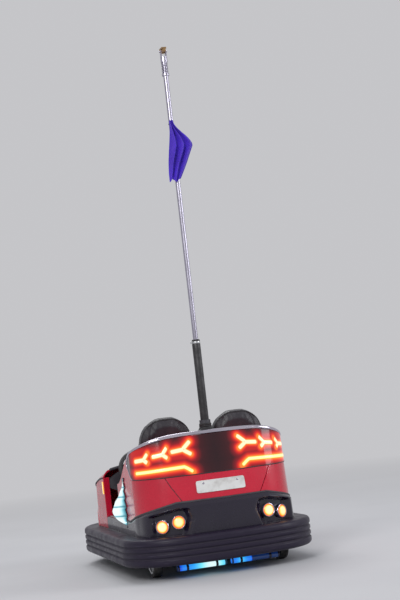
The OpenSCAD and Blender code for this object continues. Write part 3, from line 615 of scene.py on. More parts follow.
def grip_rubber():
    f = Finish("grip_rubber", (0.018, 0.017, 0.019), 0.5)
    worn = f.span(f.noise(18, 3), 0.45, 0.7)
    f.colour(f.blend(worn, (0.016, 0.015, 0.017), (0.045, 0.043, 0.046)))
    f.rough(f.span(worn, 0, 1, 0.58, 0.36))
    return f.bump(f.cells(1500), 0.0002, 0.5).mat

# %% [markdown]
# The body is glass fibre with a coloured gel coat, deep red or black, under a clear lacquer. It has a faint
# orange peel, a haze of dust low down, and short scratches that are paler than the coat.

# %% Gel coats
def gel_coat(name, colour, worn, coat):
    f = Finish(name, colour, 0.30, sockets={"Coat Weight": coat, "Coat Roughness": 0.06, "Coat IOR": 1.5,
                                            "Specular IOR Level": 0.35})
    tone = f.span(f.noise(2.4, 3), 0.3, 0.7)
    shade = f.blend(tone, scaled(colour, 0.86), scaled(colour, 1.10))
    scratch = f.span(f.noise(26, 6, 0.7, stretch=(0.35, 0.35, 5)), 0.66, 0.70)
    low = f.span(f.height(), DECK + 0.16, DECK, 0.10, 0.65)
    marks = f.times(scratch, low)
    haze = f.times(f.span(f.noise(7, 5), 0.42, 0.78), f.times(low, 0.12))
    dusty = f.blend(haze, shade, scaled(colour, 0.5, 0.09))
    f.colour(f.blend(f.times(marks, 0.7), dusty, worn))
    rough = f.span(f.noise(11, 4), 0.3, 0.75, 0.20, 0.36)
    f.rough(f.math("ADD", rough, f.times(haze, 0.9)))
    return f.bump(f.noise(95, 2), 0.0005, 0.5).bump(marks, 0.0003, 0.5).mat


red_coat = gel_coat("red_gel_coat", (0.600, 0.005, 0.032), (0.60, 0.11, 0.14), 0.6)
# The violet tint of this black and of its pale scratches is painted light, a violet cast of coloured lamps on a
# black coat
black_coat = gel_coat("black_gel_coat", (0.010, 0.006, 0.020), (0.07, 0.06, 0.10), 0.5)

# %% [markdown]
# Smoked acrylic covers the tail lights. It reads as dark maroon, and the lamps behind it stain it red and
# orange round each lit shape. The attribute glow, which is written on the mesh later, says how near a place
# is to a lit shape and drives the colour of the light.

# %% Plastics that light shines through
def smoked_acrylic():
    f = Finish("smoked_acrylic", (0.020, 0.003, 0.006), 0.16,
               sockets={"Coat Weight": 0.35, "Coat Roughness": 0.04, "Specular IOR Level": 0.3,
                        "Emission Strength": 1.0})
    cloudy = f.span(f.noise(5, 3), 0.3, 0.7)
    f.colour(f.blend(cloudy, (0.016, 0.002, 0.005), (0.026, 0.004, 0.007)))
    f.set("Emission Color", f.ramp(f.attribute("glow"), [
        (0.0, (0, 0, 0)), (0.25, (0.034, 0.001, 0.002)), (0.50, (0.240, 0.003, 0.006)),
        (0.68, (0.640, 0.010, 0.007)), (0.86, (0.960, 0.070, 0.010)), (1.0, (1.0, 0.250, 0.026))]))
    f.rough(f.span(f.noise(16, 4), 0.3, 0.7, 0.10, 0.24))
    return f.bump(f.noise(140, 2), 0.0003, 0.4).mat


def lit_plastic(name, base, stops, strength=1.0):
    """A moulded lens with lamps behind it: its attribute core runs from 0 at the rim to 1 in the middle."""
    f = Finish(name, base, 0.22, sockets={"Coat Weight": 0.5, "Coat Roughness": 0.08,
                                          "Emission Strength": strength})
    grains = f.span(f.cells(260), 0.0, 0.6, 0.92, 1.0)
    core = f.times(f.attribute("core"), grains)
    f.set("Emission Color", f.ramp(core, stops))
    return f.bump(f.cells(260), 0.0004, 0.5).mat


smoked = smoked_acrylic()
arrow_light = lit_plastic("arrow_light", (0.60, 0.10, 0.04), [
    (0.0, (0.95, 0.090, 0.010)), (0.22, (1.0, 0.300, 0.035)), (0.45, (1.0, 0.690, 0.210)),
    (0.75, (1.0, 0.930, 0.620))])
amber_light = lit_plastic("amber_light", (0.65, 0.22, 0.03), [
    (0.0, (0.90, 0.180, 0.006)), (0.25, (1.0, 0.500, 0.020)), (0.50, (1.0, 0.820, 0.140)),
    (1.0, (1.0, 0.950, 0.500))])
round_light = lit_plastic("round_light", (0.60, 0.09, 0.02), [
    (0.0, (0.62, 0.020, 0.010)), (0.10, (1.0, 0.160, 0.012)), (0.22, (1.0, 0.520, 0.040)),
    (0.40, (1.0, 0.840, 0.210)), (0.80, (1.0, 0.970, 0.600))])
white_light = lit_plastic("white_light", (0.06, 0.12, 0.14), [
    (0.0, (0.010, 0.070, 0.100)), (0.25, (0.120, 0.430, 0.520)), (0.55, (0.560, 0.880, 0.920)),
    (0.9, (0.93, 0.99, 0.98))], 0.95)
cyan_light = lit_plastic("cyan_light", (0.02, 0.06, 0.14), [
    (0.0, (0.002, 0.010, 0.060)), (0.20, (0.008, 0.090, 0.800)), (0.50, (0.030, 0.420, 1.0)),
    (0.75, (0.200, 0.860, 1.0)), (1.0, (0.820, 1.0, 1.0))])
print("lit finishes:", [m.name for m in (arrow_light, amber_light, round_light, white_light, cyan_light)])

# %% [markdown]
# The seats are grained vinyl, nearly black, paler and smoother where people sit. Dashboard, seat plinth and
# mat are moulded plastic with a fine grain. The pennant is thin polyester, a plain weave that follows the
# cloth's own UV map.

# %% Vinyl, moulded plastic and cloth
def vinyl():
    f = Finish("seat_vinyl", (0.026, 0.023, 0.030), 0.5, sockets={"Specular IOR Level": 0.5,
                                                                 "Sheen Weight": 0.12})
    rubbed = f.span(f.noise(6, 3), 0.42, 0.70)
    f.colour(f.blend(rubbed, (0.022, 0.019, 0.026), (0.050, 0.045, 0.054)))
    f.rough(f.span(rubbed, 0, 1, 0.50, 0.36))
    creases = f.span(f.noise(40, 4, 0.6, stretch=(1, 2.2, 1)), 0.50, 0.54)
    return f.bump(f.noise(22, 3), 0.0012, 0.5).bump(creases, 0.0003, 0.3).bump(f.cells(520), 0.0004, 0.5).mat


def moulded(name, colour, rough=0.55):
    f = Finish(name, colour, rough)
    dust = f.span(f.noise(8, 5), 0.46, 0.78)
    f.colour(f.blend(dust, colour, scaled(colour, 0.7, 0.055)))
    f.rough(f.span(dust, 0, 1, rough - 0.05, rough + 0.18))
    return f.bump(f.cells(700), 0.0003, 0.5).bump(f.noise(30, 2), 0.0005, 0.3).mat


def pennant_cloth():
    f = Finish("pennant_cloth", (0.070, 0.020, 0.620), 0.72, sockets={"Sheen Weight": 0.15,
                                                                     "Sheen Roughness": 0.4})
    uv = f.add("ShaderNodeUVMap", uv_map="cut").outputs["UV"]
    threads = []
    for across in (True, False):
        wave = f.add("ShaderNodeTexWave", wave_type="BANDS", bands_direction="X" if across else "Y")
        f.feed(wave, "Vector", uv)
        wave.inputs["Scale"].default_value = 110
        threads.append(wave.outputs["Fac"])
    weave = f.math("MAXIMUM", threads[0], threads[1])
    tone = f.span(f.noise(9, 3), 0.3, 0.7)
    cloth = f.blend(tone, (0.050, 0.013, 0.430), (0.078, 0.024, 0.610))
    f.colour(f.blend(f.times(weave, 0.25), cloth, (0.12, 0.05, 0.74)))
    return f.bump(weave, 0.0003, 0.5).bump(f.noise(60, 3), 0.0006, 0.4).mat


seat_vinyl = vinyl()
dash_plastic = moulded("dash_plastic", (0.034, 0.031, 0.040))
mat_plastic = moulded("mat_rubber", (0.028, 0.026, 0.031), 0.7)
cloth = pennant_cloth()

# %% [markdown]
# Painted steel has paint rubbed off in spots and a little rust, cast iron is coarse under its grey paint,
# the trim is bright chrome, the wheel centres are turned aluminium, and the contact shoe is bronze
# blackened by sparks. Chips come from noise that is cut hard, so that they have edges.

# %% Metals and paint
def painted_steel(name, colour, chipped, grain=240, rust=0.6):
    f = Finish(name, colour, 0.42)
    patches = f.math("ADD", f.times(f.noise(48, 4, 0.6), 0.6), f.times(f.noise(5, 2), 0.4))
    chips = f.span(patches, 0.605, 0.620)
    edge = f.span(patches, 0.555, 0.620)
    tone = f.blend(f.span(f.noise(4, 3), 0.3, 0.7), scaled(colour, 0.85), scaled(colour, 1.12))
    stained = f.blend(f.times(edge, rust), tone, (0.20, 0.075, 0.030))
    f.colour(f.blend(chips, stained, chipped))
    f.set("Metallic", f.times(chips, 0.7))
    f.rough(f.span(f.noise(20, 4), 0.3, 0.7, 0.34, 0.58))
    return f.bump(chips, 0.0004, 0.4).bump(f.noise(grain, 3), 0.0003, 0.6).mat


def plated(name, colour, rough, swirl=0.10):
    f = Finish(name, colour, rough, 1.0)
    brushed = f.noise(60, 3, stretch=(1, 1, 0.05))
    f.rough(f.span(brushed, 0.3, 0.7, max(0.03, rough - swirl), rough + swirl))
    f.colour(f.blend(f.span(f.noise(6, 3), 0.40, 0.75), colour, scaled(colour, 0.80)))
    return f.bump(f.noise(500, 2), 0.00008, 0.4).mat


def bronze():
    f = Finish("contact_bronze", (0.55, 0.34, 0.14), 0.35, 1.0)
    burnt = f.span(f.noise(45, 8), 0.30, 0.78)
    f.colour(f.blend(burnt, (0.56, 0.35, 0.16), (0.09, 0.065, 0.05)))
    f.rough(f.span(burnt, 0, 1, 0.28, 0.65))
    return f.bump(f.noise(400, 3), 0.0002).mat


def white_paint():
    f = Finish("plate_paint", (0.78, 0.78, 0.76), 0.32, sockets={"Coat Weight": 0.3})
    grime = f.span(f.noise(14, 5), 0.46, 0.80)
    f.colour(f.blend(grime, (0.80, 0.80, 0.78), (0.46, 0.43, 0.40)))
    f.rough(f.span(grime, 0, 1, 0.26, 0.55))
    return f.bump(f.noise(300, 2), 0.0001, 0.5).mat


frame_steel = painted_steel("frame_steel", (0.060, 0.060, 0.070), (0.30, 0.28, 0.27))
cast_iron = painted_steel("cast_iron", (0.125, 0.135, 0.145), (0.22, 0.20, 0.19), grain=110, rust=0.45)
# The violet tint of the chrome colour is painted light, a painted reflection of violet lamps in plain chrome
chrome = plated("trim_chrome", (0.60, 0.56, 0.64), 0.15, 0.015)
aluminium = plated("wheel_aluminium", (0.62, 0.63, 0.64), 0.34)
pole_steel = plated("pole_steel", (0.44, 0.42, 0.50), 0.32, 0.04)
shoe_bronze = bronze()
plate_paint = white_paint()
black_rubber, tyre_black, grip = bumper_rubber(), tyre_rubber(), grip_rubber()
print("finishes:", len(bpy.data.materials))

# %% [markdown]
# The stage is one large pale disc and a plain pale world. Far out the disc fades, for rays from the camera,
# mirrors and glass only, into the colour that the world has for those rays, so that no horizon shows. Three
# soft area lamps light the car.

# %% Stage and lamps
BACKDROP = (0.56, 0.56, 0.58, 1)


def seen_rays(tree):
    """1 for rays from the camera, and for those that mirrors and glass send on."""
    paths = tree.nodes.new("ShaderNodeLightPath")
    total = paths.outputs["Is Camera Ray"]
    for ray in ("Is Glossy Ray", "Is Transmission Ray"):
        either = tree.nodes.new("ShaderNodeMath")
        either.operation = "MAXIMUM"
        tree.links.new(total, either.inputs[0])
        tree.links.new(paths.outputs[ray], either.inputs[1])
        total = either.outputs[0]
    return total


ground = Finish("studio_floor", (0.62, 0.62, 0.64), 0.9, sockets={"Specular IOR Level": 0.1})
ground.colour(ground.blend(
    ground.span(ground.noise(0.8, 2), 0.3, 0.7), (0.60, 0.60, 0.62), (0.64, 0.64, 0.66)))
far = ground.add("ShaderNodeVectorMath", operation="LENGTH")
ground.feed(far, 0, ground.place)
share = ground.times(ground.span(far.outputs["Value"], 1.8, 9.0),
                          seen_rays(ground.tree))
plain = ground.add("ShaderNodeEmission")
plain.inputs["Color"].default_value = BACKDROP
both = ground.add("ShaderNodeMixShader")
ground.feed(both, 0, share)
ground.feed(both, 1, ground.shader.outputs[0])
ground.feed(both, 2, plain.outputs[0])
ground.feed(ground.tree.nodes["Material Output"], "Surface", both.outputs[0])
bm = bmesh.new()
bmesh.ops.create_circle(bm, cap_ends=True, radius=30, segments=96)
floor = scene_object("studio_floor", bm)
floor.data.materials.append(ground.mat)

world = bpy.data.worlds.new("studio")
scene.world = world
world.use_nodes = True
tree = world.node_tree
fill = tree.nodes["Background"]
fill.inputs["Color"].default_value = (0.93, 0.95, 1.0, 1)
fill.inputs["Strength"].default_value = 0.42
white = tree.nodes.new("ShaderNodeBackground")
white.inputs["Color"].default_value = BACKDROP
mixer = tree.nodes.new("ShaderNodeMixShader")
tree.links.new(seen_rays(tree), mixer.inputs["Fac"])
tree.links.new(fill.outputs[0], mixer.inputs[1])
tree.links.new(white.outputs[0], mixer.inputs[2])
tree.links.new(mixer.outputs[0], tree.nodes["World Output"].inputs["Surface"])


def lamp(name, place, target, size, power, tint=(1, 1, 1)):
    data = bpy.data.lights.new(name, "AREA")
    data.shape = "RECTANGLE"
    data.size, data.size_y = size
    data.energy = power
    data.color = tint
    obj = bpy.data.objects.new(name, data)
    scene.collection.objects.link(obj)
    obj.matrix_world = aimed(place, target)


lamp("Key", (4.5, 6.5, 5.0), (0, 0.3, 0.6), (3.5, 2.5), 270)
lamp("Side", (-5.5, 3.5, 3.2), (0, 0.2, 0.7), (3.0, 3.0), 130, (0.95, 0.96, 1.0))
lamp("Top", (0.5, -3.5, 6.5), (0, 0, 0.6), (4.0, 3.0), 170)

# %% [markdown]
# The bumper is one extrusion of rubber bent round the car, with four ribs and three grooves. The rows of
# the grid follow its section and the columns follow the outline. Each groove is written on the mesh as an
# attribute, for the dust that sits in it. The ends meet at the middle of the nose in a thin butt joint.

# %% Rubber bumper
RIBS, GROOVE, EDGE, CROWN_DIP, JOINT = 4, 0.007, 0.022, 0.0012, 0.0012
RING_FOOT = ring_low.z
rib = (DECK - RING_FOOT - 2 * EDGE) / (2 * RIBS - 1)
MIDDLE_Y = (TAIL_CY + NOSE_CY) / 2
TAIL_HALF, NOSE_HALF = TAIL_RUN + TAIL_CY - MIDDLE_Y, NOSE_RUN + MIDDLE_Y - NOSE_CY


def rubber_section():
    """Depth from the outline, height, and how deep in a groove, round the section."""
    quarter = [radians(a) for a in range(0, 91, 15)]
    points = [(EDGE - EDGE * sin(a), RING_FOOT + EDGE - EDGE * cos(a), 0.0) for a in quarter]
    for i in range(2 * RIBS - 1):
        hollow = i % 2 == 1
        for f in [j / 7 for j in range(1, 8)]:
            dip = sin(pi * f) ** 0.6 if hollow and f < 1 else 0.0
            depth = CROWN_DIP + (GROOVE - CROWN_DIP) * dip if hollow else CROWN_DIP * (2 * f - 1) ** 4
            points.append((depth, RING_FOOT + EDGE + rib * (i + f), dip))
    points += [(EDGE - EDGE * cos(a), DECK - EDGE + EDGE * sin(a), 0.0) for a in quarter]
    return points + [(RUBBER, DECK, 0.0), (RUBBER, RING_FOOT, 0.0), (EDGE, RING_FOOT, 0.0)]


def round_the_car(u):
    """The station at share u of the way round, from the middle of the nose back to it."""
    way = u * 2 * (TAIL_HALF + NOSE_HALF)
    if way < NOSE_HALF:
        return nose_station(max(way, JOINT))
    way -= NOSE_HALF
    if way < 2 * TAIL_HALF:
        return tail_station(TAIL_HALF - way)
    return nose_station(min(way - 2 * TAIL_HALF - NOSE_HALF, -JOINT))


def on_rubber(u, v):
    depth, z, _ = section[round(v * (len(section) - 1))]
    place, away = round_the_car(u)
    place = place - away * depth
    place.z = z
    return place


section = rubber_section()
groove_at = {round(z, 5): dip for _, z, dip in section}
bm = written(bm_grid(on_rubber, 340, len(section) - 1), "groove", lambda co: groove_at.get(round(co.z, 5), 0.0))
piece("bumper_rubber", bm, black_rubber, stands_for="bumper_ring")
print("bumper section has", len(section), "points, ribs", round(rib * 1000, 1), "mm high")

# %% [markdown]
# The rear of the body is red: a boot panel in the middle and a quarter panel on each side, which runs
# forward to the entry. They meet in two seams that lean outwards as they rise. The seams are real gaps with
# a dark strip behind.

# %% Boot panel and quarter panels
SEAM, SEAM_FOOT, SEAM_LEAN = 0.0022, 0.240, 0.080 / 0.126
FOOT_GAP, TOP_GAP, STEP_UP = 0.0008, 0.0012, 0.012
QUARTER_KNEE = 0.58


def seam_travel(v):
    """How far from the middle the seam is at share v of the height: it leans outwards."""
    return SEAM_FOOT + v * (LENS - VALANCE) * SEAM_LEAN


def shell_top(t):
    """The top edge lies under the lens, and steps up to the side wall just past the lens's end."""
    return mix(LENS - TOP_GAP, rear_top(t), clip((t - LENS_END) / STEP_UP))


def boot_travel(u, v):
    return (1 - 2 * u) * (seam_travel(v) - SEAM)


def quarter_travel(u, v, side):
    if u < QUARTER_KNEE:
        return side * mix(seam_travel(v) + SEAM, LENS_END, u / QUARTER_KNEE)
    return side * mix(LENS_END, REAR_END, (u - QUARTER_KNEE) / (1 - QUARTER_KNEE))


def shell_skin(u, v, deep, travel):
    t = travel(u, v)
    z = mix(valance_line(t) + FOOT_GAP, shell_top(abs(t)), v)
    return on_rear(t, z, -rear_thick(t) if deep else 0.0)


def strip_skin(u, v, deep, side):
    z = mix(VALANCE - 0.004, LENS - 0.004, v)
    t = seam_travel((z - VALANCE) / (LENS - VALANCE)) + mix(-0.010, 0.010, u)
    return on_rear(side * t, z, -PANEL + (-0.002 if deep else 0.0012))


for name, travel, across in (("boot_panel", boot_travel, 72),
                             ("quarter_left", partial(quarter_travel, side=1), 96),
                             ("quarter_right", partial(quarter_travel, side=-1), 96)):
    panel = bm_slab(partial(shell_skin, travel=travel), across, 20)
    soften(piece(name, panel, red_coat, stands_for="rear_shell"), 0.0022, 3, 50)
strips = [bm_slab(partial(strip_skin, side=side), 2, 14) for side in SIDES]
piece("seam_strips", strips, dash_plastic)
print("seams", SEAM * 2000, "mm wide")

# %% [markdown]
# Under the red a black valance goes round the whole tail. Its middle stands proud, and on each side it
# sinks into a slanted bay for two round lamps. One function of travel and height says how far the skin
# stands out, and the columns are closer together where it steps in and out of the bays.

# %% Black valance with its lamp bays
BAY_FROM, BAY_TO, BAY_RAMP, BAY_SLANT, BAY_DEPTH, PROUD = 0.180, 0.458, 0.046, 0.070, 0.042, 0.020
BAY_END_RAMP = 0.036
CEILING, LEDGE = 0.74, 0.87
BODY_Z = DECK + 0.0003
COLUMNS = ((0, 0.178, 15), (0.178, 0.228, 16), (0.228, 0.420, 14), (0.420, 0.462, 14), (0.462, 0.56, 10),
           (0.56, REAR_END, 24))
travels = [mix(start, end, i / n) for start, end, n in COLUMNS for i in range(n)] + [REAR_END]
travels = [-t for t in travels[:0:-1]] + travels
heights = [CEILING * i / 12 for i in range(13)] + [0.76, 0.78, 0.8, 0.82, 0.84, 0.855, 0.865, LEDGE, 0.875,
                                                   0.89, 0.91, 0.93, 0.95, 0.97, 0.985, 1]


def valance_out(t, v):
    """How far the skin stands out: a bay is open at the foot and has a ceiling under the ledge."""
    flank = PROUD * (1 - 0.75 * ease((t - BAY_TO) / 0.1))
    slope = 1 - 0.92 * clip((v - LEDGE) / (1 - LEDGE))
    near = clip((t - BAY_FROM) / BAY_RAMP)
    bay = mix(near, ease(near), 0.35) * (1 - ease((t - BAY_TO + BAY_END_RAMP) / BAY_END_RAMP))
    return flank * slope - BAY_DEPTH * bay * (1 - ease((v - CEILING) / 0.10))


def slanted(t, v):
    lean = BAY_SLANT * (v - 0.5) * clip(abs(t) / BAY_FROM)
    return t + copysign(lean * clip((TAIL_FLAT - abs(t)) / (TAIL_FLAT - BAY_FROM - BAY_RAMP)), t)


def valance_skin(u, v, deep):
    t, share = travels[round(u * (len(travels) - 1))], heights[round(v * (len(heights) - 1))]
    out = valance_out(abs(t), share)
    return on_rear(slanted(t, share), mix(BODY_Z, valance_line(t), share),
                   min(0, out) - rear_thick(t) if deep else out)


piece("rear_valance_skin", bm_slab(valance_skin, len(travels) - 1, len(heights) - 1), black_coat,
      stands_for="rear_valance", sharp=50)
print("valance:", len(travels) - 1, "by", len(heights) - 1, "quads")

# %% [markdown]
# A violet-grey bead of soft moulding covers the joint between red and black. It is a round cord pressed
# flat, swept along the seam line.

# %% Waist bead
def waist_line(u):
    t = mix(-REAR_END + 0.006, REAR_END - 0.006, u)
    return seat_on(on_rear, t, valance_line(t), 0.002)


piece("waist_bead", bm_bead(waist_line, 220, 0.0062, 0.8), dash_plastic)
print("waist bead", round(2 * REAR_END, 2), "m round the tail")

# %% [markdown]
# The tail lens is one smoked panel over the whole width. Behind it shine three arrows on each side and an
# amber bar. The lit shapes are lines first, in travel along the tail and height.

# %% The lit shapes as lines of travel and height
STROKE, BAR_WIDTH = 0.028, 0.022
FOOT_CORNER, TIP, TIP_Z = 0.592, 0.700, 0.668
# Travels of the arm ends, the fork and the tip, their heights over the lens foot, and half the spread
ARROWS = [(0.155, 0.199, 0.272, 0.155, 0.150, 0.142, 0.036),
          (0.303, 0.336, 0.410, 0.140, 0.134, 0.126, 0.029),
          (0.450, 0.476, 0.545, 0.121, 0.114, 0.108, 0.026)]
BAR = [(0.153, 0.016), (0.187, 0.040), (0.205, 0.050), (0.318, 0.046), (0.431, 0.042), (0.545, 0.038)]


def arms_of(arrow, w):
    """A point on the arrow's two arms, from w = -1 at the lower end to 1 at the upper one."""
    arm, fork, _, arm_z, fork_z, _, spread = arrow
    far = (sqrt(w * w + 0.01) - 0.1) / (sqrt(1.01) - 0.1)
    return mix(fork, arm, far), LENS + mix(fork_z, arm_z, far) + w * spread


def stem_of(arrow, w):
    _, fork, tip, _, fork_z, tip_z, _ = arrow
    return mix(fork - 0.25 * STROKE, tip, w), LENS + mix(fork_z, tip_z, w)


def along_points(points, w):
    """The point at share w of the length of a line through points of travel and height."""
    lengths = [dist(a, b) for a, b in zip(points, points[1:])]
    way = w * sum(lengths)
    for a, b, length in zip(points, points[1:], lengths):
        if way <= length:
            return mix(a[0], b[0], way / length), mix(a[1], b[1], way / length)
        way -= length
    return points[-1]


bar_points = [(t, LENS + z) for t, z in BAR]
lit_lines = [bar_points]
for arrow in ARROWS:
    lit_lines += [[arms_of(arrow, -1 + i / 4) for i in range(9)], [stem_of(arrow, 0), stem_of(arrow, 1)]]
lit_pieces = [(Vector(a), Vector(b)) for line in lit_lines for a, b in zip(line, line[1:])]
print("lit lines:", len(lit_lines), "on each side")

# %% [markdown]
# Each end of the lens runs out in a blunt point that laps over the quarter panel. Its grid is fine, because
# the glow is written on it: it falls off over a few centimetres from each lit shape, and a fainter band of
# it fills the field between them.

# %% Smoked lens with its glow
FALLOFF, BAND, LENS_LIFT, LENS_SEAT = 0.040, 0.64, 0.0026, 0.0006


def near_light(t, z):
    """How strongly the lit shapes stain the lens: 1 at their edge, less with distance."""
    spot = Vector((t, z))
    nearest = 1.0
    for a, b in lit_pieces:
        step = b - a
        share = clip((spot - a).dot(step) / step.length_squared)
        nearest = min(nearest, (spot - a - step * share).length)
    close = exp(-max(0, nearest - STROKE / 2) / FALLOFF)
    inside = ease((t - 0.100) / 0.06) * (1 - ease((t - 0.57) / 0.10))
    band = ease((z - LENS) / 0.04) * ease((LENS + 0.235 - z) / 0.07)
    gap = 1 - 0.35 * exp(-((z - LENS - 0.078) / 0.014) ** 2)
    return max(close, BAND * inside * band * gap)


def lens_height(t, v):
    return mix(LENS, rear_top(min(abs(t), LENS_END)) - 0.0008, v)


def lens_reach(v):
    z = lens_height(LENS_END, v)
    if z <= TIP_Z:
        return mix(FOOT_CORNER, TIP, (z - LENS) / (TIP_Z - LENS))
    return mix(TIP, LENS_END, (z - TIP_Z) / (lens_height(LENS_END, 1) - TIP_Z))


def lens_skin(u, v, deep):
    t = (1 - 2 * u) * lens_reach(v)
    lap = ease((abs(t) - LENS_END + 0.03) / 0.03)
    return on_rear(t, lens_height(t, v), mix(-PANEL, LENS_SEAT, lap) if deep else LENS_LIFT)


def travel_at(co):
    """The travel of a point of the tail from its place: on the flat arc by angle, then round the corner."""
    angle = abs(atan2(co.x, co.y - (HALF_L - TAIL_R)))
    if angle <= TAIL_KNEE:
        return angle / TAIL_KNEE * TAIL_FLAT
    if co.y > TAIL_CY:
        corner = atan2(abs(co.x) - (HALF_W - TAIL_C), co.y - TAIL_CY)
        return TAIL_FLAT + max(0, corner - TAIL_KNEE) * (TAIL_C - BODY_IN)
    return TAIL_RUN + TAIL_CY - co.y


def glow(co):
    """The glow of a point of the lens, which only its outer skin has."""
    t = travel_at(co)
    outside = (co - on_rear(copysign(t, co.x), co.z, LENS_LIFT)).length < 0.005
    return near_light(t, co.z) if outside else 0.0


lens = piece("tail_lens_panel", written(bm_slab(lens_skin, 250, 44), "glow", glow), smoked,
             stands_for="tail_lens")
soften(lens, 0.0018, 2, 60)
print("lens:", len(lens.data.vertices), "points, reach", round(lens_reach(0), 3), "to", TIP)

# %% [markdown]
# A lit shape is a low dome along a line on the lens, with round ends. The attribute core says how near a
# point is to the middle of the stroke, and the finish turns it from a pale yellow middle to an orange edge.
# The lit plastic of an arrow runs a little past its line, as its round ends would make it look short.

# %% Arrows and amber bars
LIT_FOOT, LIT_PROUD = 0.0016, 0.0052
PAST_ARM, PAST_TIP = 1.13, 1.10


def bm_stroke(line, width, along):
    """A domed stroke along line(w), which gives travel and height; core is written on it."""
    marks = [line(i / 40) for i in range(41)]
    length = sum(dist(a, b) for a, b in zip(marks, marks[1:]))

    def skin(u, v, deep):
        end = min(u, 1 - u) * length / (width / 2)
        half = width / 2 * sqrt(max(0.02, 1 - max(0, 1 - end) ** 2))
        t, z = line(u)
        step = heading(line, u, 0.01)
        side = (2 * v - 1) * half
        dome = sqrt(max(0, 1 - (side / (width / 2)) ** 2))
        out = LIT_FOOT if deep else LIT_FOOT + LIT_PROUD * (0.45 + 0.55 * dome)
        return on_rear(t - step.y * side, z + step.x * side, out)

    def core(u, v):
        end = min(1, min(u, 1 - u) * length / (width * 0.30))
        return min(end, 1.15 - 1.15 * abs(2 * v - 1) ** 2.2)

    return bm_slab(skin, along, 8, core)


def both_strokes(line, width, along):
    """The stroke on the left side and its mirror image on the right."""
    return [bm_stroke(line, width, along), bm_stroke(lambda w: (-line(w)[0], line(w)[1]), width, along)]


strokes = []
for arrow in ARROWS:
    strokes += both_strokes(lambda w: arms_of(arrow, PAST_ARM * (2 * w - 1)), STROKE, 34)
    strokes += both_strokes(lambda w: stem_of(arrow, PAST_TIP * w), STROKE, 24)
bars = both_strokes(partial(along_points, bar_points), BAR_WIDTH, 90)
print("lit strokes:", len(strokes), "in arrows and", len(bars), "bars")
piece("tail_arrow_lights", strokes, arrow_light, stands_for="tail_arrows", sharp=60)
piece("tail_bar_lights", bars, amber_light, stands_for="amber_lamps", sharp=60)

# %% [markdown]
# The trim over the lens is a plated moulding, thick in the middle and thinner towards the points, where it
# turns round the lens and comes back along its foot. A rounded D is swept along the edge, whose corners are
# cut twice first, so that the sweep is smooth. A thin bead is the gasket under the lens.

# %% Chrome trim and gasket
TURN_BACK = [(0.678, 0.694), (0.696, 0.678), (TIP, TIP_Z), (0.694, 0.660), (0.660, 0.634), (0.625, 0.605),
             (FOOT_CORNER, LENS)]
edge_points = [(i / 30 * LENS_END, rear_top(i / 30 * LENS_END)) for i in range(31)]
trim_path = [(-t, z) for t, z in reversed(edge_points[1:] + TURN_BACK)] + edge_points + TURN_BACK
for _ in range(2):
    cut = [trim_path[0]]
    for a, b in zip(trim_path, trim_path[1:]):
        cut += [(mix(a[0], b[0], share), mix(a[1], b[1], share)) for share in (0.25, 0.75)]
    trim_path = cut + [trim_path[-1]]
# Half the height and depth of the section, its middle and its lift, each in the middle, far out and coming back
TRIM = [(0.0110, 0.0070, 0.0030), (0.0130, 0.0075, 0.0030), (-0.006, -0.001, 0.003), (0.0112, 0.0074, 0.0008)]


def rounder(c):
    return copysign(abs(c) ** 0.75, c)


def trim_place(u, v):
    t, z = along_points(trim_path, u)
    step = heading(partial(along_points, trim_path), u, 0.004)
    share = ease(clip((abs(t) - 0.40) / 0.22))
    back = clip((abs(u - 0.5) - 0.405) / 0.03)
    half_high, half_deep, middle, lift = [mix(mix(thick, thin, share), last, back) for thick, thin, last in TRIM]
    up = lift + half_high * rounder(sin(v * tau))
    return on_rear(t - step.y * up, z + step.x * up, middle + half_deep * rounder(cos(v * tau)))


def lens_foot_line(u):
    t = mix(-FOOT_CORNER, FOOT_CORNER, u)
    return on_rear(t, LENS - 0.0004, 0.0012), surface_normal(on_rear, t, LENS)


piece("tail_trim_moulding", bm_grid(trim_place, 260, 20), chrome, stands_for="tail_trim", sharp=50)
piece("lens_gasket", bm_bead(lens_foot_line, 160, 0.0028, 0.9), grip)
print("trim:", len(trim_path), "points")

# %% [markdown]
# The four round lamps sit deep in the bays. Each has a spun bezel with a rolled lip and a domed lens, which
# is red at the rim and yellow over the bulb. One lamp of each pair burns a little dimmer.

# %% Round lamps
ROUND_LAMPS = [(0.277, 0.074), (0.376, 0.056)]
LAMP_R, DIM = 0.033, 0.72
BEZEL = [(0.0345, 0.0), (0.041, 0.0), (0.041, 0.018), (0.0402, 0.0215), (0.0385, 0.0236), (0.0368, 0.0240),
         (0.0352, 0.0228), (0.0345, 0.0200), (0.0345, 0.0)]
DOME = [(0, 0), (0.0345, 0), (0.0345, 0.0195), (0.0338, 0.0212), (0.0310, 0.0240), (0.0265, 0.0272),
        (0.0215, 0.0295), (0.0155, 0.0312), (0.0085, 0.0319), (0, 0.0322)]
bezels, domes = [], []
for side in SIDES:
    for travel, rise in ROUND_LAMPS:
        seat = seat_on(on_rear, side * travel, DECK + rise, PROUD - BAY_DEPTH + 0.0002)
        bezels.append(place_on(bm_lathe(BEZEL, 56), *seat))
        full = 1.0 if (side > 0) == (travel > 0.3) else DIM
        bm = bm_lathe(DOME, 56)
        bmesh.ops.subdivide_edges(bm, edges=[e for e in bm.edges if max(v.co.z for v in e.verts) > 0.018],
                                  cuts=1, use_grid_fill=True)
        written(bm, "core", lambda co: full * clip(1.9 - 1.85 * co.xy.length / LAMP_R) if co.z > 0.005 else 0)
        domes.append(place_on(bm, *seat))
piece("round_lamp_bezels", bezels, chrome, stands_for="lamp_bezels")
piece("round_lamp_domes", domes, round_light, stands_for="lamp_lenses", sharp=50)
print("round lamps:", len(domes))

# %% [markdown]
# On each quarter a white lamp bulges out of the side like a leaf. Its front edge is one smooth curve, and
# its back edge is cut in teeth, with slits that run into the leaf. The travel of both edges is a function
# of the height, and the bulge falls to nothing at the edges.

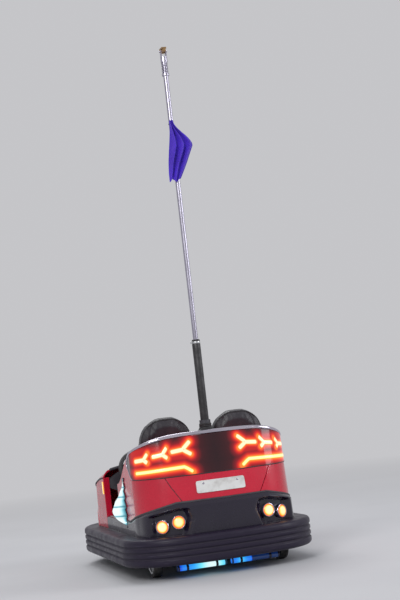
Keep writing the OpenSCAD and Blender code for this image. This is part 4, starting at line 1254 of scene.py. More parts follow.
# %% Side lamps
TEETH, NOTCH_AT = 5, 0.62
LEAF_LOW, LEAF_HIGH = DECK + 0.058, LENS + 0.008
LEAF_BACK, LEAF_WIDE, LEAF_BULGE = TAIL_RUN + 0.210, 0.118, 0.068


def leaf_swell(v):
    return sin(pi * max(0, 1 - v) ** 1.94)


def saw(v):
    """From 1 at the tip of a tooth to 0 at a notch and back; the teeth point up a little."""
    phase = (v * TEETH) % 1.0
    return 1 - phase / NOTCH_AT if phase < NOTCH_AT else (phase - NOTCH_AT) / (1 - NOTCH_AT)


def leaf_edges(v):
    room = 1 - (2 * v - 1) ** 4
    back = LEAF_BACK + 0.014 + mix(-0.014, 0.022, 1 - saw(v)) * room
    return back, LEAF_BACK + 0.030 + LEAF_WIDE * leaf_swell(v)


def leaf_skin(u, v, deep, side):
    dome = sin(pi * clip(u) ** 0.8)
    out = 0.0004 if deep else 0.0012 + 0.004 * min(1, 6 * min(u, 1 - u)) + LEAF_BULGE * leaf_swell(v) * dome
    return on_rear(side * mix(*leaf_edges(v), u), mix(LEAF_LOW, LEAF_HIGH, v), out)


def leaf_core(u, v):
    slit = exp(-((saw(v) - 1) / 0.20) ** 2) * (1 - ease((u - 0.45) / 0.35))
    edge = clip(min(u, 1 - u) * 8) * clip(min(v, 1 - v) * 14)
    return edge * (1 - 0.85 * slit) * (1 - 0.25 * exp(-((u - 0.72) / 0.05) ** 2))


leaves = [bm_slab(partial(leaf_skin, side=side), 20, 80, leaf_core) for side in SIDES]
piece("side_lamp_leaves", leaves, white_light, stands_for="side_lamps", sharp=40)
print("side lamps:", len(leaves), "with", TEETH, "teeth each")

# %% [markdown]
# Behind each leaf is a dark housing that shows as a thin rim, and a bolt holds it at the foot. The rim is
# a bead along the leaf's outline.

# %% Side lamp housings
def leaf_outline(u, side):
    up = u < 0.5
    v = mix(0.02, 0.985, u * 2) if up else mix(0.985, 0.02, u * 2 - 1)
    t = leaf_edges(v)[1] + 0.003 if up else leaf_edges(v)[0] - 0.003
    return seat_on(on_rear, side * t, mix(LEAF_LOW, LEAF_HIGH, v), 0.0014)


rims = [bm_bead(partial(leaf_outline, side=side), 260, 0.0058, 0.9, ends=False) for side in SIDES]
rims += [bm_bolt(*seat_on(on_rear, side * (LEAF_BACK + 0.010), LEAF_LOW - 0.008, 0.0006), 0.007, 0.3)
         for side in SIDES]
piece("side_lamp_rims", rims, black_coat)
print("side lamp rims:", len(rims) // 2)

# %% [markdown]
# The plate on the boot is a blank white sheet with rounded corners, a pressed rim and two screws. The
# grid is laid on the tail, and the points of each corner square are pulled into a quarter circle.

# %% Blank plate
PLATE_W, PLATE_H, PLATE_R = 0.300, 0.070, 0.012
plate_z = (VALANCE + LENS) / 2


def plate_skin(u, v, deep):
    half_w, half_h = PLATE_W / 2, PLATE_H / 2
    x, z = corner_pulled((0.5 - u) * PLATE_W, (v - 0.5) * PLATE_H, half_w, half_h, PLATE_R)
    edge = min(half_w - abs(x), half_h - abs(z))
    rim = 0.0014 * (1 - ease((edge - 0.004) / 0.003))
    return on_rear(x, plate_z + z, 0.0004 if deep else 0.0034 + rim)


plate = piece("blank_plate", bm_slab(plate_skin, 96, 30), plate_paint,
              stands_for="number_plate", sharp=50)
soften(plate, 0.0006, 2, 60)
screws = []
for x in (-0.105, 0.105):
    head = bm_lathe([(0, 0), (0.0065, 0), (0.0065, 0.0008), (0.0055, 0.0022), (0.003, 0.0030), (0, 0.0032)], 24)
    screws.append(place_on(head, on_rear(x, plate_z + 0.018, 0.0032), surface_normal(on_rear, x, plate_z)))
piece("plate_screws", screws, chrome)
print("plate", PLATE_W, "by", PLATE_H)

# %% [markdown]
# Behind the arch the body turns down to a shelf that carries the pole. It starts inside the lens's edge
# and flattens towards the seats, a quarter sine in section.

# %% Rear deck
deck_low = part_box("rear_deck")[0]
DECK_HALF = DASH_HALF - 0.030


def deck_skin(u, v, deep):
    lower = PANEL if deep else 0
    t = (1 - 2 * u) * (LENS_END - 0.002)
    far = abs(t) / LENS_END
    start = on_rear(t, rear_top(abs(t)) - 0.005 - lower, -rear_thick(t) - 0.0004)
    z = ARCH - 0.004 - 0.200 * far ** 2.4 - lower
    return Vector((mix(start.x, copysign(DECK_HALF, t) * far, v), mix(start.y, deck_low.y, v),
                   mix(start.z, z, sin(pi / 2 * v))))


piece("rear_deck_skin", bm_slab(deck_skin, 90, 16), red_coat, stands_for="rear_deck")
print("rear deck from y", round(deck_low.y, 3))

# %% [markdown]
# The front of the body is one moulding: a low wall round the nose that rises into a wing on each side of
# the driver. A shallow brow stands out over each front corner, like the arch over a wheel.

# %% Front wall and wings
BROW_AT, BROW_R, BROW_OUT = 0.47, 0.165, 0.007


def front_skin(u, v, deep):
    t = (2 * u - 1) * FRONT_END
    z = mix(BODY_Z, front_top(t), v)
    reach = hypot(abs(t) - BROW_AT, (z - DECK) * 1.25)
    brow = BROW_OUT * exp(-((reach - BROW_R) / 0.020) ** 2) * clip((1 - v) * 6)
    return on_front(t, z, -front_thick(t) if deep else brow)


wings = piece("front_wall", bm_slab(front_skin, 200, 24), red_coat, stands_for="front_shell",
              sharp=45)
soften(wings, 0.003, 3, 50)
print("front wall up to", round(WING_TOP, 3))

# %% [markdown]
# The bonnet curves up from the nose wall to the dashboard. Two soft creases run up it, with a shallow
# hollow between them. A rounded roll finishes its rear edge over the dashboard, and a bead lies along
# its joint with the wall.

# %% Bonnet
def crease(share, v):
    ridge = 0.006 * exp(-((abs(share) - mix(0.30, 0.44, v)) / 0.035) ** 2)
    hollow = -0.004 * exp(-(share / 0.16) ** 2)
    return (ridge + hollow) * sin(pi * clip(v * 0.94)) ** 0.7


def bonnet_skin(u, v, deep):
    share = 2 * u - 1
    return on_bonnet(share * FRONT_END, v, -PANEL if deep else crease(share, v)) + Vector((0, 0, 0.0002))


def bonnet_edge(u):
    t = mix(-FRONT_END * 0.985, FRONT_END * 0.985, u)
    return on_bonnet(t, 1.0, -0.001) + Vector((0, 0.001, 0)), Vector((0, 0.5, 1)).normalized()


def belt_line(u):
    t = mix(-FRONT_END + 0.004, FRONT_END - 0.004, u)
    z = front_top(t)
    return on_front(t, z - 0.001, 0.0010), surface_normal(on_front, t, z - 0.01)


hood = piece("bonnet_skin", bm_slab(bonnet_skin, 140, 44), red_coat, stands_for="bonnet", sharp=45)
soften(hood, 0.002, 2, 55)
piece("bonnet_roll", bm_bead(bonnet_edge, 120, 0.0095, 1.0, 14), dash_plastic)
piece("front_belt_bead", bm_bead(belt_line, 220, 0.0052, 0.8), dash_plastic)
print("bonnet from", round(front_top(0), 3), "to", round(BONNET + CROWN, 3))

# %% [markdown]
# Each front corner has a large swept headlamp in the bonnet over a small round lamp in the nose wall. The
# swept one is a patch of the bonnet's own surface, narrow towards the middle and tall outside, with a dark
# rim.

# %% Headlamps
SWEPT_IN, SWEPT_OUT, SMALL_R = 0.285, 0.545, 0.0255
SMALL_DOME = [(0, 0), (SMALL_R, 0), (SMALL_R, 0.009), (0.021, 0.0135), (0.014, 0.0163), (0.007, 0.0176),
              (0, 0.018)]
SMALL_CUP = [(0.0250, 0), (0.030, 0), (0.030, 0.009), (0.0288, 0.0115), (0.0270, 0.0122), (0.0255, 0.0112),
             (0.0250, 0.009), (0.0250, 0)]
small_travel = 0.75 * NOSE_FLAT


def swept_spot(u, v, side):
    foot, top = mix(0.215, 0.150, ease(u)), mix(0.240, 0.375, sin(pi * 0.62 * u))
    return side * mix(SWEPT_IN, SWEPT_OUT, u), mix(foot, top, v)


def swept_skin(u, v, deep, side):
    dome = (sin(pi * u) * sin(pi * v)) ** 0.6
    return on_bonnet(*swept_spot(u, v, side), -0.002 if deep else 0.0035 + 0.010 * dome)


def swept_core(u, v):
    stripe = 1 - 0.72 * abs(sin(u * pi * 6)) ** 12 - 0.30 * exp(-((v - 0.62) / 0.07) ** 2)
    return clip(min(u, 1 - u) * 9) * clip(min(v, 1 - v) * 4.5) * stripe


def swept_rim(u, side):
    spot = swept_spot(*round_square(u), side)
    here = on_bonnet(*spot, 0.002)
    return here, (on_bonnet(*spot, 0.02) - here).normalized()


def small_core(co):
    return clip(1.15 - co.xy.length / SMALL_R) if co.z > 0.004 else 0


lamps, rims, rounds, cups = [], [], [], []
for side in SIDES:
    lamps.append(bm_slab(partial(swept_skin, side=side), 96, 24, swept_core))
    rims.append(bm_bead(partial(swept_rim, side=side), 200, 0.0045, 0.9, 8, ends=False))
    seat = seat_on(on_front, side * small_travel, DECK + 0.056, 0.0002)
    rounds.append(place_on(written(bm_lathe(SMALL_DOME, 44), "core", small_core), *seat))
    cups.append(place_on(bm_lathe(SMALL_CUP, 44), *seat))
piece("headlamp_lenses", lamps + rounds, white_light, stands_for="headlamps", sharp=50)
piece("headlamp_cups", cups, chrome)
piece("headlamp_rims", rims, black_coat)
print("headlamps: swept from travel", SWEPT_IN, "to", SWEPT_OUT)

# %% [markdown]
# A black grille fills the middle of the nose: a thin sheet with four rounded slats and a bead round it.

# %% Nose grille
GRILLE, SLATS = 0.51 * NOSE_FLAT, 4
grille_low, grille_high = DECK + 0.010, DECK + 0.092


def grille_spot(a, b):
    return (2 * a - 1) * GRILLE, mix(grille_low, grille_high, b)


def grille_skin(u, v, deep):
    return on_front(*grille_spot(u, v), 0.0006 if deep else 0.0036)


def slat(u, z):
    return seat_on(on_front, (2 * u - 1) * (GRILLE - 0.012), z, 0.0046)


def grille_frame(u):
    return seat_on(on_front, *grille_spot(*round_square(u)), 0.003)


parts = [bm_slab(grille_skin, 60, 4)]
parts += [bm_bead(partial(slat, z=DECK + 0.021 + i * 0.0200), 60, 0.0068, 1.0, 12) for i in range(SLATS)]
parts.append(bm_bead(grille_frame, 240, 0.0050, 0.9, 8, ends=False))
piece("nose_grille_slats", parts, black_coat, stands_for="nose_grille", sharp=40)
print("grille:", SLATS, "slats")

# %% [markdown]
# Between front and rear the side is open, so that people can step in over a low black sill with a ribbed
# aluminium tread on top. At the rear end of each front wing an amber marker strip is lit.

# %% Sills, treads and marker strips
TREAD_RIBS, MARKER_H = 24, 0.080
sill_x, flank_x = HALF_W - BODY_IN - SIDE_WALL / 2, HALF_W - BODY_IN + 0.0004
start, end, top = ENTRY_FRONT + 0.030, ENTRY_REAR - 0.030, sill_high.z - 0.0014
marker_z = WING_TOP - 0.105


def marker(u, v, deep, side):
    left, right = mix(0.0, 0.002, v), mix(0.012, 0.016, v)
    edge = min(u, 1 - u, min(v, 1 - v) * 5)
    out = 0.0 if deep else 0.0030 + 0.0016 * min(1, edge * 6)
    return Vector((side * (flank_x + out), ENTRY_FRONT - 0.034 + mix(left, right, u),
                   mix(marker_z, marker_z + MARKER_H, v)))


sills, treads, strips = [], [], []
for side in SIDES:
    x = side * sill_x
    bm = bm_box((x - SIDE_WALL / 2, ENTRY_FRONT + 0.0004, BODY_Z),
                (x + SIDE_WALL / 2, ENTRY_REAR - 0.0004, sill_high.z - 0.0012))
    upper = [e for e in bm.edges if all(v.co.z > 0.3 for v in e.verts)
             and abs(e.verts[0].co.y - e.verts[1].co.y) > 0.1]
    sills.append(bevelled(bm, upper, 0.014, 6))
    treads.append(bm_box((x - 0.010, start, top), (x + 0.010, end, top + 0.0008), 0.0003, 1))
    for i in range(TREAD_RIBS):
        y, z = mix(start + 0.008, end - 0.008, i / (TREAD_RIBS - 1)), top + 0.0006
        treads.append(bm_bar((x - 0.0085, y, z), (x + 0.0085, y, z), 0.0010, 8))
    strips.append(written(bm_slab(partial(marker, side=side), 6, 24), "core",
                          lambda co: clip((abs(co.x) - flank_x) / 0.0046)))
piece("sill_mouldings", sills, black_coat, stands_for="sills")
piece("sill_treads", treads, aluminium)
piece("marker_strips", strips, amber_light)
print("sills", round(ENTRY_REAR - ENTRY_FRONT, 3), "m long with", TREAD_RIBS, "ribs each")

# %% [markdown]
# The dashboard is a plain moulded panel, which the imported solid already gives. Only what a hand finds is
# added: a round start button in a ring and two blank round caps, none of them lettered.

# %% Dashboard fittings
dash_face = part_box("dash")[1].y
caps = []
for x, drop, r in ((0.02, 0.075, 0.022), (-0.10, 0.075, 0.016), (-0.20, 0.080, 0.016)):
    collar = bm_lathe([(r, 0), (r * 1.3, 0), (r * 1.3, 0.003), (r * 1.15, 0.006), (r, 0.006), (r, 0)], 40)
    button = bm_lathe([(0, 0), (r * 0.92, 0), (r * 0.92, 0.006), (r * 0.7, 0.0085), (0, 0.0095)], 40)
    caps.append(place_on(merged([collar, button]), (x, dash_face - 0.0002, BONNET - drop), (0, 1, 0)))
piece("dash_caps", caps, chrome)
print("dash caps:", len(caps))

# %% [markdown]
# The steering wheel is a thick rubber rim on three flat spokes, with a padded hub. Finger grips ripple the
# rim's inner side. It rides on its own body, because it turns with the drive unit.

# %% Steering wheel
TILT = radians(38)
WHEEL_R, RIM_R, FINGERS, SPOKE_FROM = 0.146, 0.0138, 24, 0.025
HUB = [(0, -0.0256), (0.030, -0.0256), (0.034, -0.020), (0.035, -0.004), (0.035, 0.006), (0.0325, 0.0105),
       (0.026, 0.0132), (0.014, 0.0138), (0, 0.0138)]
column = Vector((0, cos(TILT), sin(TILT)))
wheel_at = Vector((0.224, DASH_Y - 0.006, BONNET - 0.095)) + column * 0.130


def rim_place(u, v):
    angle, around = u * tau, v * tau
    inner_side = cos(around) < 0
    r = RIM_R - (0.0011 * (1 - cos(angle * FINGERS)) / 2 if inner_side else 0)
    reach = WHEEL_R + r * cos(around)
    return Vector((reach * cos(angle), reach * sin(angle), r * sin(around)))


parts = [bm_grid(rim_place, 192, 20)]
for angle in (0, 120, 240):
    spoke = bm_box((-0.0125, SPOKE_FROM, -0.0042), (0.0125, WHEEL_R - 0.003, 0.0042), 0.0018)
    for vert in spoke.verts:
        share = clip((vert.co.y - SPOKE_FROM) / (WHEEL_R - 0.003 - SPOKE_FROM))
        vert.co.x *= 1.0 - 0.35 * sin(pi * share)
        vert.co.z += 0.004 * (1 - share) - 0.002
    bmesh.ops.transform(spoke, matrix=Matrix.Rotation(radians(angle), 4, "Z"), verts=spoke.verts)
    parts.append(spoke)
parts.append(bm_lathe(HUB))
piece("steering_wheel_grip", place_on(merged(parts), wheel_at, column), grip, body="steering_wheel",
      stands_for="steering_wheel", sharp=40)
nut = place_on(bm_bolt((0, 0, 0), (0, 0, 1), 0.009), wheel_at + column * 0.0135, column)
piece("steering_wheel_nut", nut, aluminium, body="steering_wheel")
print("steering wheel at", [round(c, 3) for c in wheel_at])

# %% [markdown]
# The seat is a bench cushion for two with two separate backs, each with its headrest in one piece. Each
# starts as a slightly smaller block that is remeshed into even quads and blown up as cloth: pressure from
# inside, no gravity, twenty frames. How far a point may move is capped, and channels and seams come after
# that.

# %% Blocks that the seat pads start from
cushion_low, cushion_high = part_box("seat_cushion")
back_low, back_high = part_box("seat_back_left")
BACK_LEAN, BACK_THICK, SKIN_IN = radians(12), 0.084, 0.014
BACK_X, BACK_W = (back_low.x + back_high.x) / 2, back_high.x - back_low.x
BACK_FOOT = Vector((0, back_low.y, back_low.z + BACK_THICK * sin(BACK_LEAN)))
SLAB = (back_high.z - BACK_FOOT.z) / cos(BACK_LEAN)
DOME_FROM, VOXEL = 0.62, 0.008


def back_half(share):
    """Half the width of a seat back at a share of its height: straight, then a domed head."""
    if share <= DOME_FROM:
        return BACK_W / 2 * mix(0.955, 1.0, ease(share / 0.25))
    rise = (share - DOME_FROM) / (1 - DOME_FROM)
    return BACK_W / 2 * mix(1, 0.96, ease(rise * 1.6)) * max(0.0, 1 - rise ** 4.0) ** 0.50


def back_frame(side):
    """From (across, up, depth) of a seat back to the car, leaning back."""
    s, c = sin(BACK_LEAN), cos(BACK_LEAN)
    return Matrix(((side, 0, 0, side * BACK_X), (0, s, c, BACK_FOOT.y), (0, c, -s, BACK_FOOT.z), (0, 0, 0, 1)))


def back_skin(u, v, deep):
    """A flat slab in a seat back's outline, inset a little all round."""
    share = mix(0.006, 0.994, v)
    x = (u - 0.5) * 2 * max(0.02, back_half(share) - 0.005)
    return Vector((x, share * SLAB, BACK_THICK - SKIN_IN if deep else SKIN_IN))


cushion = bm_box(cushion_low + Vector((0.012, 0.012, 0.004)), cushion_high - Vector((0.012, 0.010, 0.014)),
                 0.022, 3)
pads = {"seat_cushion_pad": scene_object("seat_cushion_pad", cushion)}
for name in ("seat_back_pad_left", "seat_back_pad_right"):
    pads[name] = scene_object(name, bm_slab(back_skin, 26, 90))
for obj in pads.values():
    quads = obj.modifiers.new("Quads", "REMESH")
    quads.mode = "VOXEL"
    quads.voxel_size = VOXEL
    applied(obj)
print("pads:", {name: len(obj.data.vertices) for name, obj in pads.items()})

# %% [markdown]
# All three are blown up in one run of the simulation. The seat backs are still upright blocks round the
# origin here, and are leaned into place afterwards.

# %% Foam that swells
SWELL, PULL, LAST_FRAME = 0.024, 0.007, 20
CLOTH = {"quality": 4, "mass": 0.3, "tension_stiffness": 14, "compression_stiffness": 14, "shear_stiffness": 6,
         "bending_stiffness": 0.6, "use_pressure": True, "uniform_pressure_force": 4}


def capped(step):
    """How far a point may go: SWELL along the pad's depth, but only PULL within its outline."""
    return Vector([min(max(c, -limit), limit) for c, limit in zip(step, (PULL, PULL, SWELL))])


before = {name: [v.co.copy() for v in obj.data.vertices] for name, obj in pads.items()}
for obj in pads.values():
    sim = obj.modifiers.new("Cloth", "CLOTH")
    for setting, value in CLOTH.items():
        setattr(sim.settings, setting, value)
    sim.settings.effector_weights.gravity = 0
    sim.point_cache.frame_start, sim.point_cache.frame_end = 1, LAST_FRAME
for frame_number in range(1, LAST_FRAME + 1):
    scene.frame_set(frame_number)
for obj in pads.values():
    applied(obj)
scene.frame_set(1)
for name, obj in pads.items():
    for vert, first in zip(obj.data.vertices, before[name]):
        vert.co = first + capped(vert.co - first)
print("swollen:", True)

# %% [markdown]
# Now the sewing. A seam or a channel is a valley in the skin, moved in along the pad's depth by a smooth
# well. The cushion gets a seam between the two places, a front roll and channels across each place. The
# backs get side bolsters, channels and a seam under the headrest.

# %% Channels and seams
PLACE_X, PLACE_HALF, FRONT_ROLL, HIP_Y = 0.215, 0.165, 0.070, 0.24
CUSHION_ROW, BACK_ROW, CHANNEL, THREAD = 0.062, 0.074, 0.0075, 0.0065
HEAD_SEAM = 0.675


def well(distance, width):
    return exp(-(distance / width) ** 2)


def channels(rows, pitch):
    return CHANNEL * well((rows - round(rows)) * pitch, THREAD)


def sew_cushion(co):
    face = ease((0.055 - (cushion_high.z - co.z)) / 0.03)
    place = abs(co.x) - PLACE_X
    dip = 0.020 * well(abs(co.x), 0.010) + 0.006 * well(abs(co.x), 0.05)
    inside = ease((PLACE_HALF - abs(place)) / 0.01)
    front = co.y - (cushion_low.y + FRONT_ROLL)
    dip += 0.009 * well(front, 0.007) * inside
    rows = front / CUSHION_ROW
    if rows > 0.5:
        dip += channels(rows, CUSHION_ROW) * inside * ease((3.4 - rows) / 0.3)
    dip += 0.0085 * well(abs(place) - PLACE_HALF, THREAD) * ease((co.y - cushion_low.y - 0.05) / 0.02)
    dip += 0.010 * exp(-(place / 0.10) ** 2 - ((co.y - HIP_Y) / 0.10) ** 2)
    return Vector((co.x, co.y, co.z - dip * face))


def sew_back(co):
    """co is across, up and depth; the front face is at depth 0."""
    share = co.y / SLAB
    half = max(0.05, back_half(clip(share)))
    face = ease((0.040 - co.z) / 0.025)
    inner = half * 0.70
    inside = ease((inner - abs(co.x)) / 0.012)
    dip = 0.009 * well(abs(co.x) - inner, THREAD) * ease((0.66 - share) / 0.04) * ease((share - 0.03) / 0.03)
    dip += (channels(co.y / BACK_ROW, BACK_ROW) * inside * ease((0.62 - share) / 0.02)
            * ease((share - 0.06) / 0.04))
    dip += 0.012 * well((share - HEAD_SEAM) * SLAB, 0.008)
    dip += 0.006 * inside * sin(pi * clip(share / 0.64))
    rear = ease((co.z - BACK_THICK + 0.040) / 0.025)
    rear_dip = 0.004 * well(abs(abs(co.x) - half * 0.62), 0.005) * ease((share - 0.60) / 0.05)
    return Vector((co.x, co.y, co.z + dip * face - rear_dip * rear))


for name, obj in pads.items():
    fine = obj.modifiers.new("Fine", "SUBSURF")
    fine.levels = fine.render_levels = 1
    applied(obj)
    back = name != "seat_cushion_pad"
    low = Vector((-BACK_W / 2, 0, 0.001)) if back else cushion_low
    high = Vector((BACK_W / 2, SLAB, BACK_THICK)) if back else cushion_high
    matrix = back_frame(1 if name.endswith("left") else -1)
    depths = [v.co.z for v in obj.data.vertices]
    first, last = min(depths), max(depths)
    for vert in obj.data.vertices:
        # The swollen depth is fitted to its room, so that the crown stays and only the sewing goes in
        co = Vector((vert.co.x, vert.co.y, mix(low.z, high.z, (vert.co.z - first) / (last - first))))
        co = (sew_back if back else sew_cushion)(co)
        co = Vector([min(max(co[i], low[i]), high[i]) for i in range(3)])
        vert.co = matrix @ co if back else co
    bm = bmesh.new()
    bm.from_mesh(obj.data)
    closed_out(bm)
    bm.to_mesh(obj.data)
    bm.free()
    dressed(obj, seat_vinyl, stands_for=name.replace("_pad", ""))
print("sewn:", {name: len(obj.data.polygons) for name, obj in pads.items()})

# %% [markdown]
# A round piping cord closes each pad where front and side skins meet. As the foam has swollen, each point
# of the cord's line is laid on the nearest point of the finished pad, and then evened out with its
# neighbours.

# %% Piping
HEAD_ARC, CORD_IN, CORD_R, CORD_SUNK = 0.62, 0.002, 0.0042, 0.0010


def back_outline(u, side, depth):
    """Up one side of a seat back, over the head, and down the other."""
    w = u * 2 - 1
    if abs(w) < HEAD_ARC:
        rise = abs(cos(w / HEAD_ARC * pi / 2)) ** 0.9
        share = DOME_FROM + (1 - DOME_FROM) * rise * 0.992
        x = copysign(max(0.0, back_half(share) - CORD_IN), w)
    else:
        share = mix(DOME_FROM, 0.03, (abs(w) - HEAD_ARC) / (1 - HEAD_ARC))
        x = copysign(back_half(share) - CORD_IN, w)
    return back_frame(side) @ Vector((x, share * SLAB - CORD_IN * 0.6, depth))


def cushion_outline(u):
    x1, y0, y1 = cushion_high.x - 0.012, cushion_low.y + 0.012, cushion_high.y - 0.014
    a, b = round_square(u)
    x, y = corner_pulled(mix(-x1, x1, a), mix(y0, y1, b) - (y0 + y1) / 2, x1, (y1 - y0) / 2, 0.03)
    return Vector((x, y + (y0 + y1) / 2, cushion_high.z - 0.012))


def bm_cord(pad, place, count, closed):
    """A cord through the points of the pad that are nearest to place(u), smoothed."""
    points = []
    for i in range(count + 1):
        _, spot, normal, _ = pad.closest_point_on_mesh(place(i / count))
        points.append(spot - normal * CORD_SUNK)
    for _ in range(6):
        ends = (points[-2:-1] if closed else points[:1]), (points[1:2] if closed else points[-1:])
        row = [*ends[0], *points, *ends[1]]
        points = [(a + b * 2 + c) / 4 for a, b, c in zip(row, row[1:], row[2:])]

    def along(u):
        at = u * count
        first = min(int(at), count - 1)
        return points[first].lerp(points[first + 1], at - first), Vector((0, 0.35, 1)).normalized()

    return bm_bead(along, count, CORD_R, 1.0, 8, ends=False)


cords = [bm_cord(pads[name], partial(back_outline, side=side, depth=depth), 200, False)
         for side, name in ((1, "seat_back_pad_left"), (-1, "seat_back_pad_right"))
         for depth in (0.006, BACK_THICK - 0.006)]
cords.append(bm_cord(pads["seat_cushion_pad"], cushion_outline, 300, True))
piece("seat_piping", cords, grip)
print("piping:", len(cords), "cords")

# %% [markdown]
# Raised ribs run across the floor mat, so that shoes grip. They are low bars with rounded tops, and they
# stop beside the pedal.

# %% Mat ribs
mat_low, mat_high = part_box("floor_mat")
pedal_low, pedal_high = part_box("pedal")
mat_from, mat_to = mat_low.x + 0.02, mat_high.x - 0.02
ribs = []
for i in range(10):
    y = mix(mat_low.y + 0.012, mat_high.y - 0.012, i / 9)
    spans = [(mat_from, mat_to)]
    if pedal_low.y - 0.01 < y < pedal_high.y + 0.01:
        spans = [(mat_from, pedal_low.x - 0.012), (pedal_high.x + 0.012, mat_to)]
    ribs += [bm_box((start, y - 0.004, mat_high.z - 0.001), (end, y + 0.004, mat_high.z + 0.0026), 0.0014)
             for start, end in spans if end > start]
piece("mat_ribs", ribs, mat_plastic)
print("mat ribs:", len(ribs))

# %% [markdown]
# The pole carries current from the ceiling net. The tube itself comes from the frame. At its foot stands a
# thick rubber sleeve, spun with a few soft waists, which a hose clamp closes. A flanged boot covers the
# hole in the deck.

# %% Sleeve, clamp and boot
sleeve_low, sleeve_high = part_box("pole_sleeve")
POLE = Vector((0, (sleeve_low.y + sleeve_high.y) / 2, 0))
SLEEVE_BORE, WAISTS = 0.0156, 0.030
BOOT = [(0.0335, 0.0), (0.0640, 0.0), (0.0655, 0.0025), (0.0640, 0.0065), (0.0520, 0.0085), (0.0440, 0.0140),
        (0.0385, 0.0240), (0.0365, 0.0280), (0.0385, 0.0320), (0.0360, 0.0370), (0.0375, 0.0430),
        (0.0350, 0.0490), (0.0335, 0.0500), (0.0335, 0.0)]
sleeve_r, length = (sleeve_high.x - sleeve_low.x) / 2, sleeve_high.z - sleeve_low.z


def on_pole(bm, z):
    """Moves what was modelled round the origin up the pole."""
    return moved(bm, POLE + Vector((0, 0, z)))


profile = [(SLEEVE_BORE, 0), (sleeve_r, 0), (sleeve_r, length - WAISTS)]
profile += [(sleeve_r - 0.0004 - 0.0030 * sin(pi * i / 10) ** 2, length - WAISTS + 0.0024 * i)
            for i in range(1, 10)]
profile += [(sleeve_r - 0.001, length - 0.004), (sleeve_r - 0.004, length - 0.0005), (0.0185, length),
            (SLEEVE_BORE, length), (SLEEVE_BORE, 0)]
sleeve = on_pole(bm_lathe(profile), sleeve_low.z)
piece("pole_sleeve_rubber", sleeve, grip, stands_for="pole_sleeve")
band = bm_lathe([(sleeve_r - 0.0022, -0.006), (sleeve_r + 0.0002, -0.006), (sleeve_r + 0.0006, -0.004),
                 (sleeve_r + 0.0006, 0.004), (sleeve_r + 0.0002, 0.006), (sleeve_r - 0.0022, 0.006),
                 (sleeve_r - 0.0022, -0.006)])
screw = bm_bar((sleeve_r + 0.003, -0.012, 0), (sleeve_r + 0.003, 0.012, 0), 0.0042, 12)
housing = bm_box((sleeve_r - 0.001, -0.008, -0.0055), (sleeve_r + 0.0075, 0.006, 0.0055), 0.0012)
piece("sleeve_clamp", on_pole(merged([band, screw, housing]), sleeve_high.z - 0.018), aluminium)
piece("pole_boot", on_pole(bm_lathe(BOOT), ARCH + 0.0086), grip)
print("sleeve", round(length, 3), "m, pole at y", round(POLE.y, 3))

# %% [markdown]
# The pennant hangs limp from the pole in folds. It is a grid with its own UV map, so that the weave follows
# the cloth, gathered towards the foot, where the free corner swings back to the pole. A Solidify modifier
# gives the cloth its thickness, and a bead round its outline is the hem.

# %% Pennant
pennant_low, pennant_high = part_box("pennant")
PENNANT_TOP, PENNANT_H = pennant_high.z, pennant_high.z - pennant_low.z
POLE_R, FLY, GATHER = 0.015, 0.112, 0.58
THREADS_U, THREADS_V = 72, 60
CUT_W, CUT_L, CLOTH_THICK = 0.27, 0.44, 0.0012


def pennant_place(u, v):
    """u runs from the hoist side to the fly, v from the foot up."""
    left = POLE_R + 0.038 * ease((1 - v) / 0.9)
    right = mix(FLY, 0.006, ease((v - GATHER) / (1 - GATHER))) if v > GATHER else mix(0.014, FLY, v / GATHER)
    swell = (0.014 + 0.022 * sin(pi * v)) * (1 - cos(6 * pi * u)) / 2
    flutter = 0.0040 * sin(9 * v + 5 * u) * sin(pi * u)
    crumple = 0.0065 * noise.noise((u * 4, v * 6, 0.4)) + 0.0025 * noise.noise((u * 13, v * 19, 2))
    lift = 0.020 * (1 - v) ** 5 * (0.5 - 0.5 * cos(tau * 1.5 * u + 0.6))
    sway = 0.0030 * sin(7 * v + 1) * sin(pi * u)
    return Vector((mix(left, -right, u) + sway, POLE.y + POLE_R + 0.0032 + max(0, swell + flutter + crumple),
                   PENNANT_TOP - 0.002 - (PENNANT_H - 0.004) * (1 - v) + lift))


def flag_edge(u):
    return pennant_place(*round_square(u)), Vector((0, 1, 0))


def line_length(points):
    return sum((a - b).length for a, b in zip(points, points[1:]))


bm = bmesh.new()
bmesh.ops.create_grid(bm, x_segments=THREADS_U, y_segments=THREADS_V, size=0.5)
uv = bm.loops.layers.uv.new("cut")
for face in bm.faces:
    for loop in face.loops:
        loop[uv].uv = (loop.vert.co.x + 0.5, loop.vert.co.y + 0.5)
for vert in bm.verts:
    vert.co = pennant_place(vert.co.x + 0.5, vert.co.y + 0.5)
if sum(f.normal.y * f.calc_area() for f in bm.faces) < 0:
    bmesh.ops.reverse_faces(bm, faces=bm.faces)
cloth_area = round(sum(f.calc_area() for f in bm.faces), 4)
flag = piece("pennant_cloth_sheet", bm, cloth, stands_for="pennant", sharp=180)
solid = flag.modifiers.new("Wall", "SOLIDIFY")
solid.thickness, solid.offset, solid.use_even_offset = CLOTH_THICK, 0.0, True
hem = piece("pennant_hem", bm_bead(flag_edge, 300, 0.0016, 0.8, 6, ends=False), cloth)
rows = [[pennant_place(i / THREADS_U, j / THREADS_V) for i in range(THREADS_U + 1)] for j in range(THREADS_V + 1)]
print("unfolded:", round(max(map(line_length, rows)), 3), "by", round(max(map(line_length, zip(*rows))), 3))
print("pennant cloth area", cloth_area, "m2, of a cut of", round(CUT_W * CUT_L, 4))

# %% [markdown]
# Plastic ties hold the hoist edge to the pole, and at the top a spring presses the bronze shoe up against
# the net. The spring is a round wire bent into a helix, which stands on a collar.

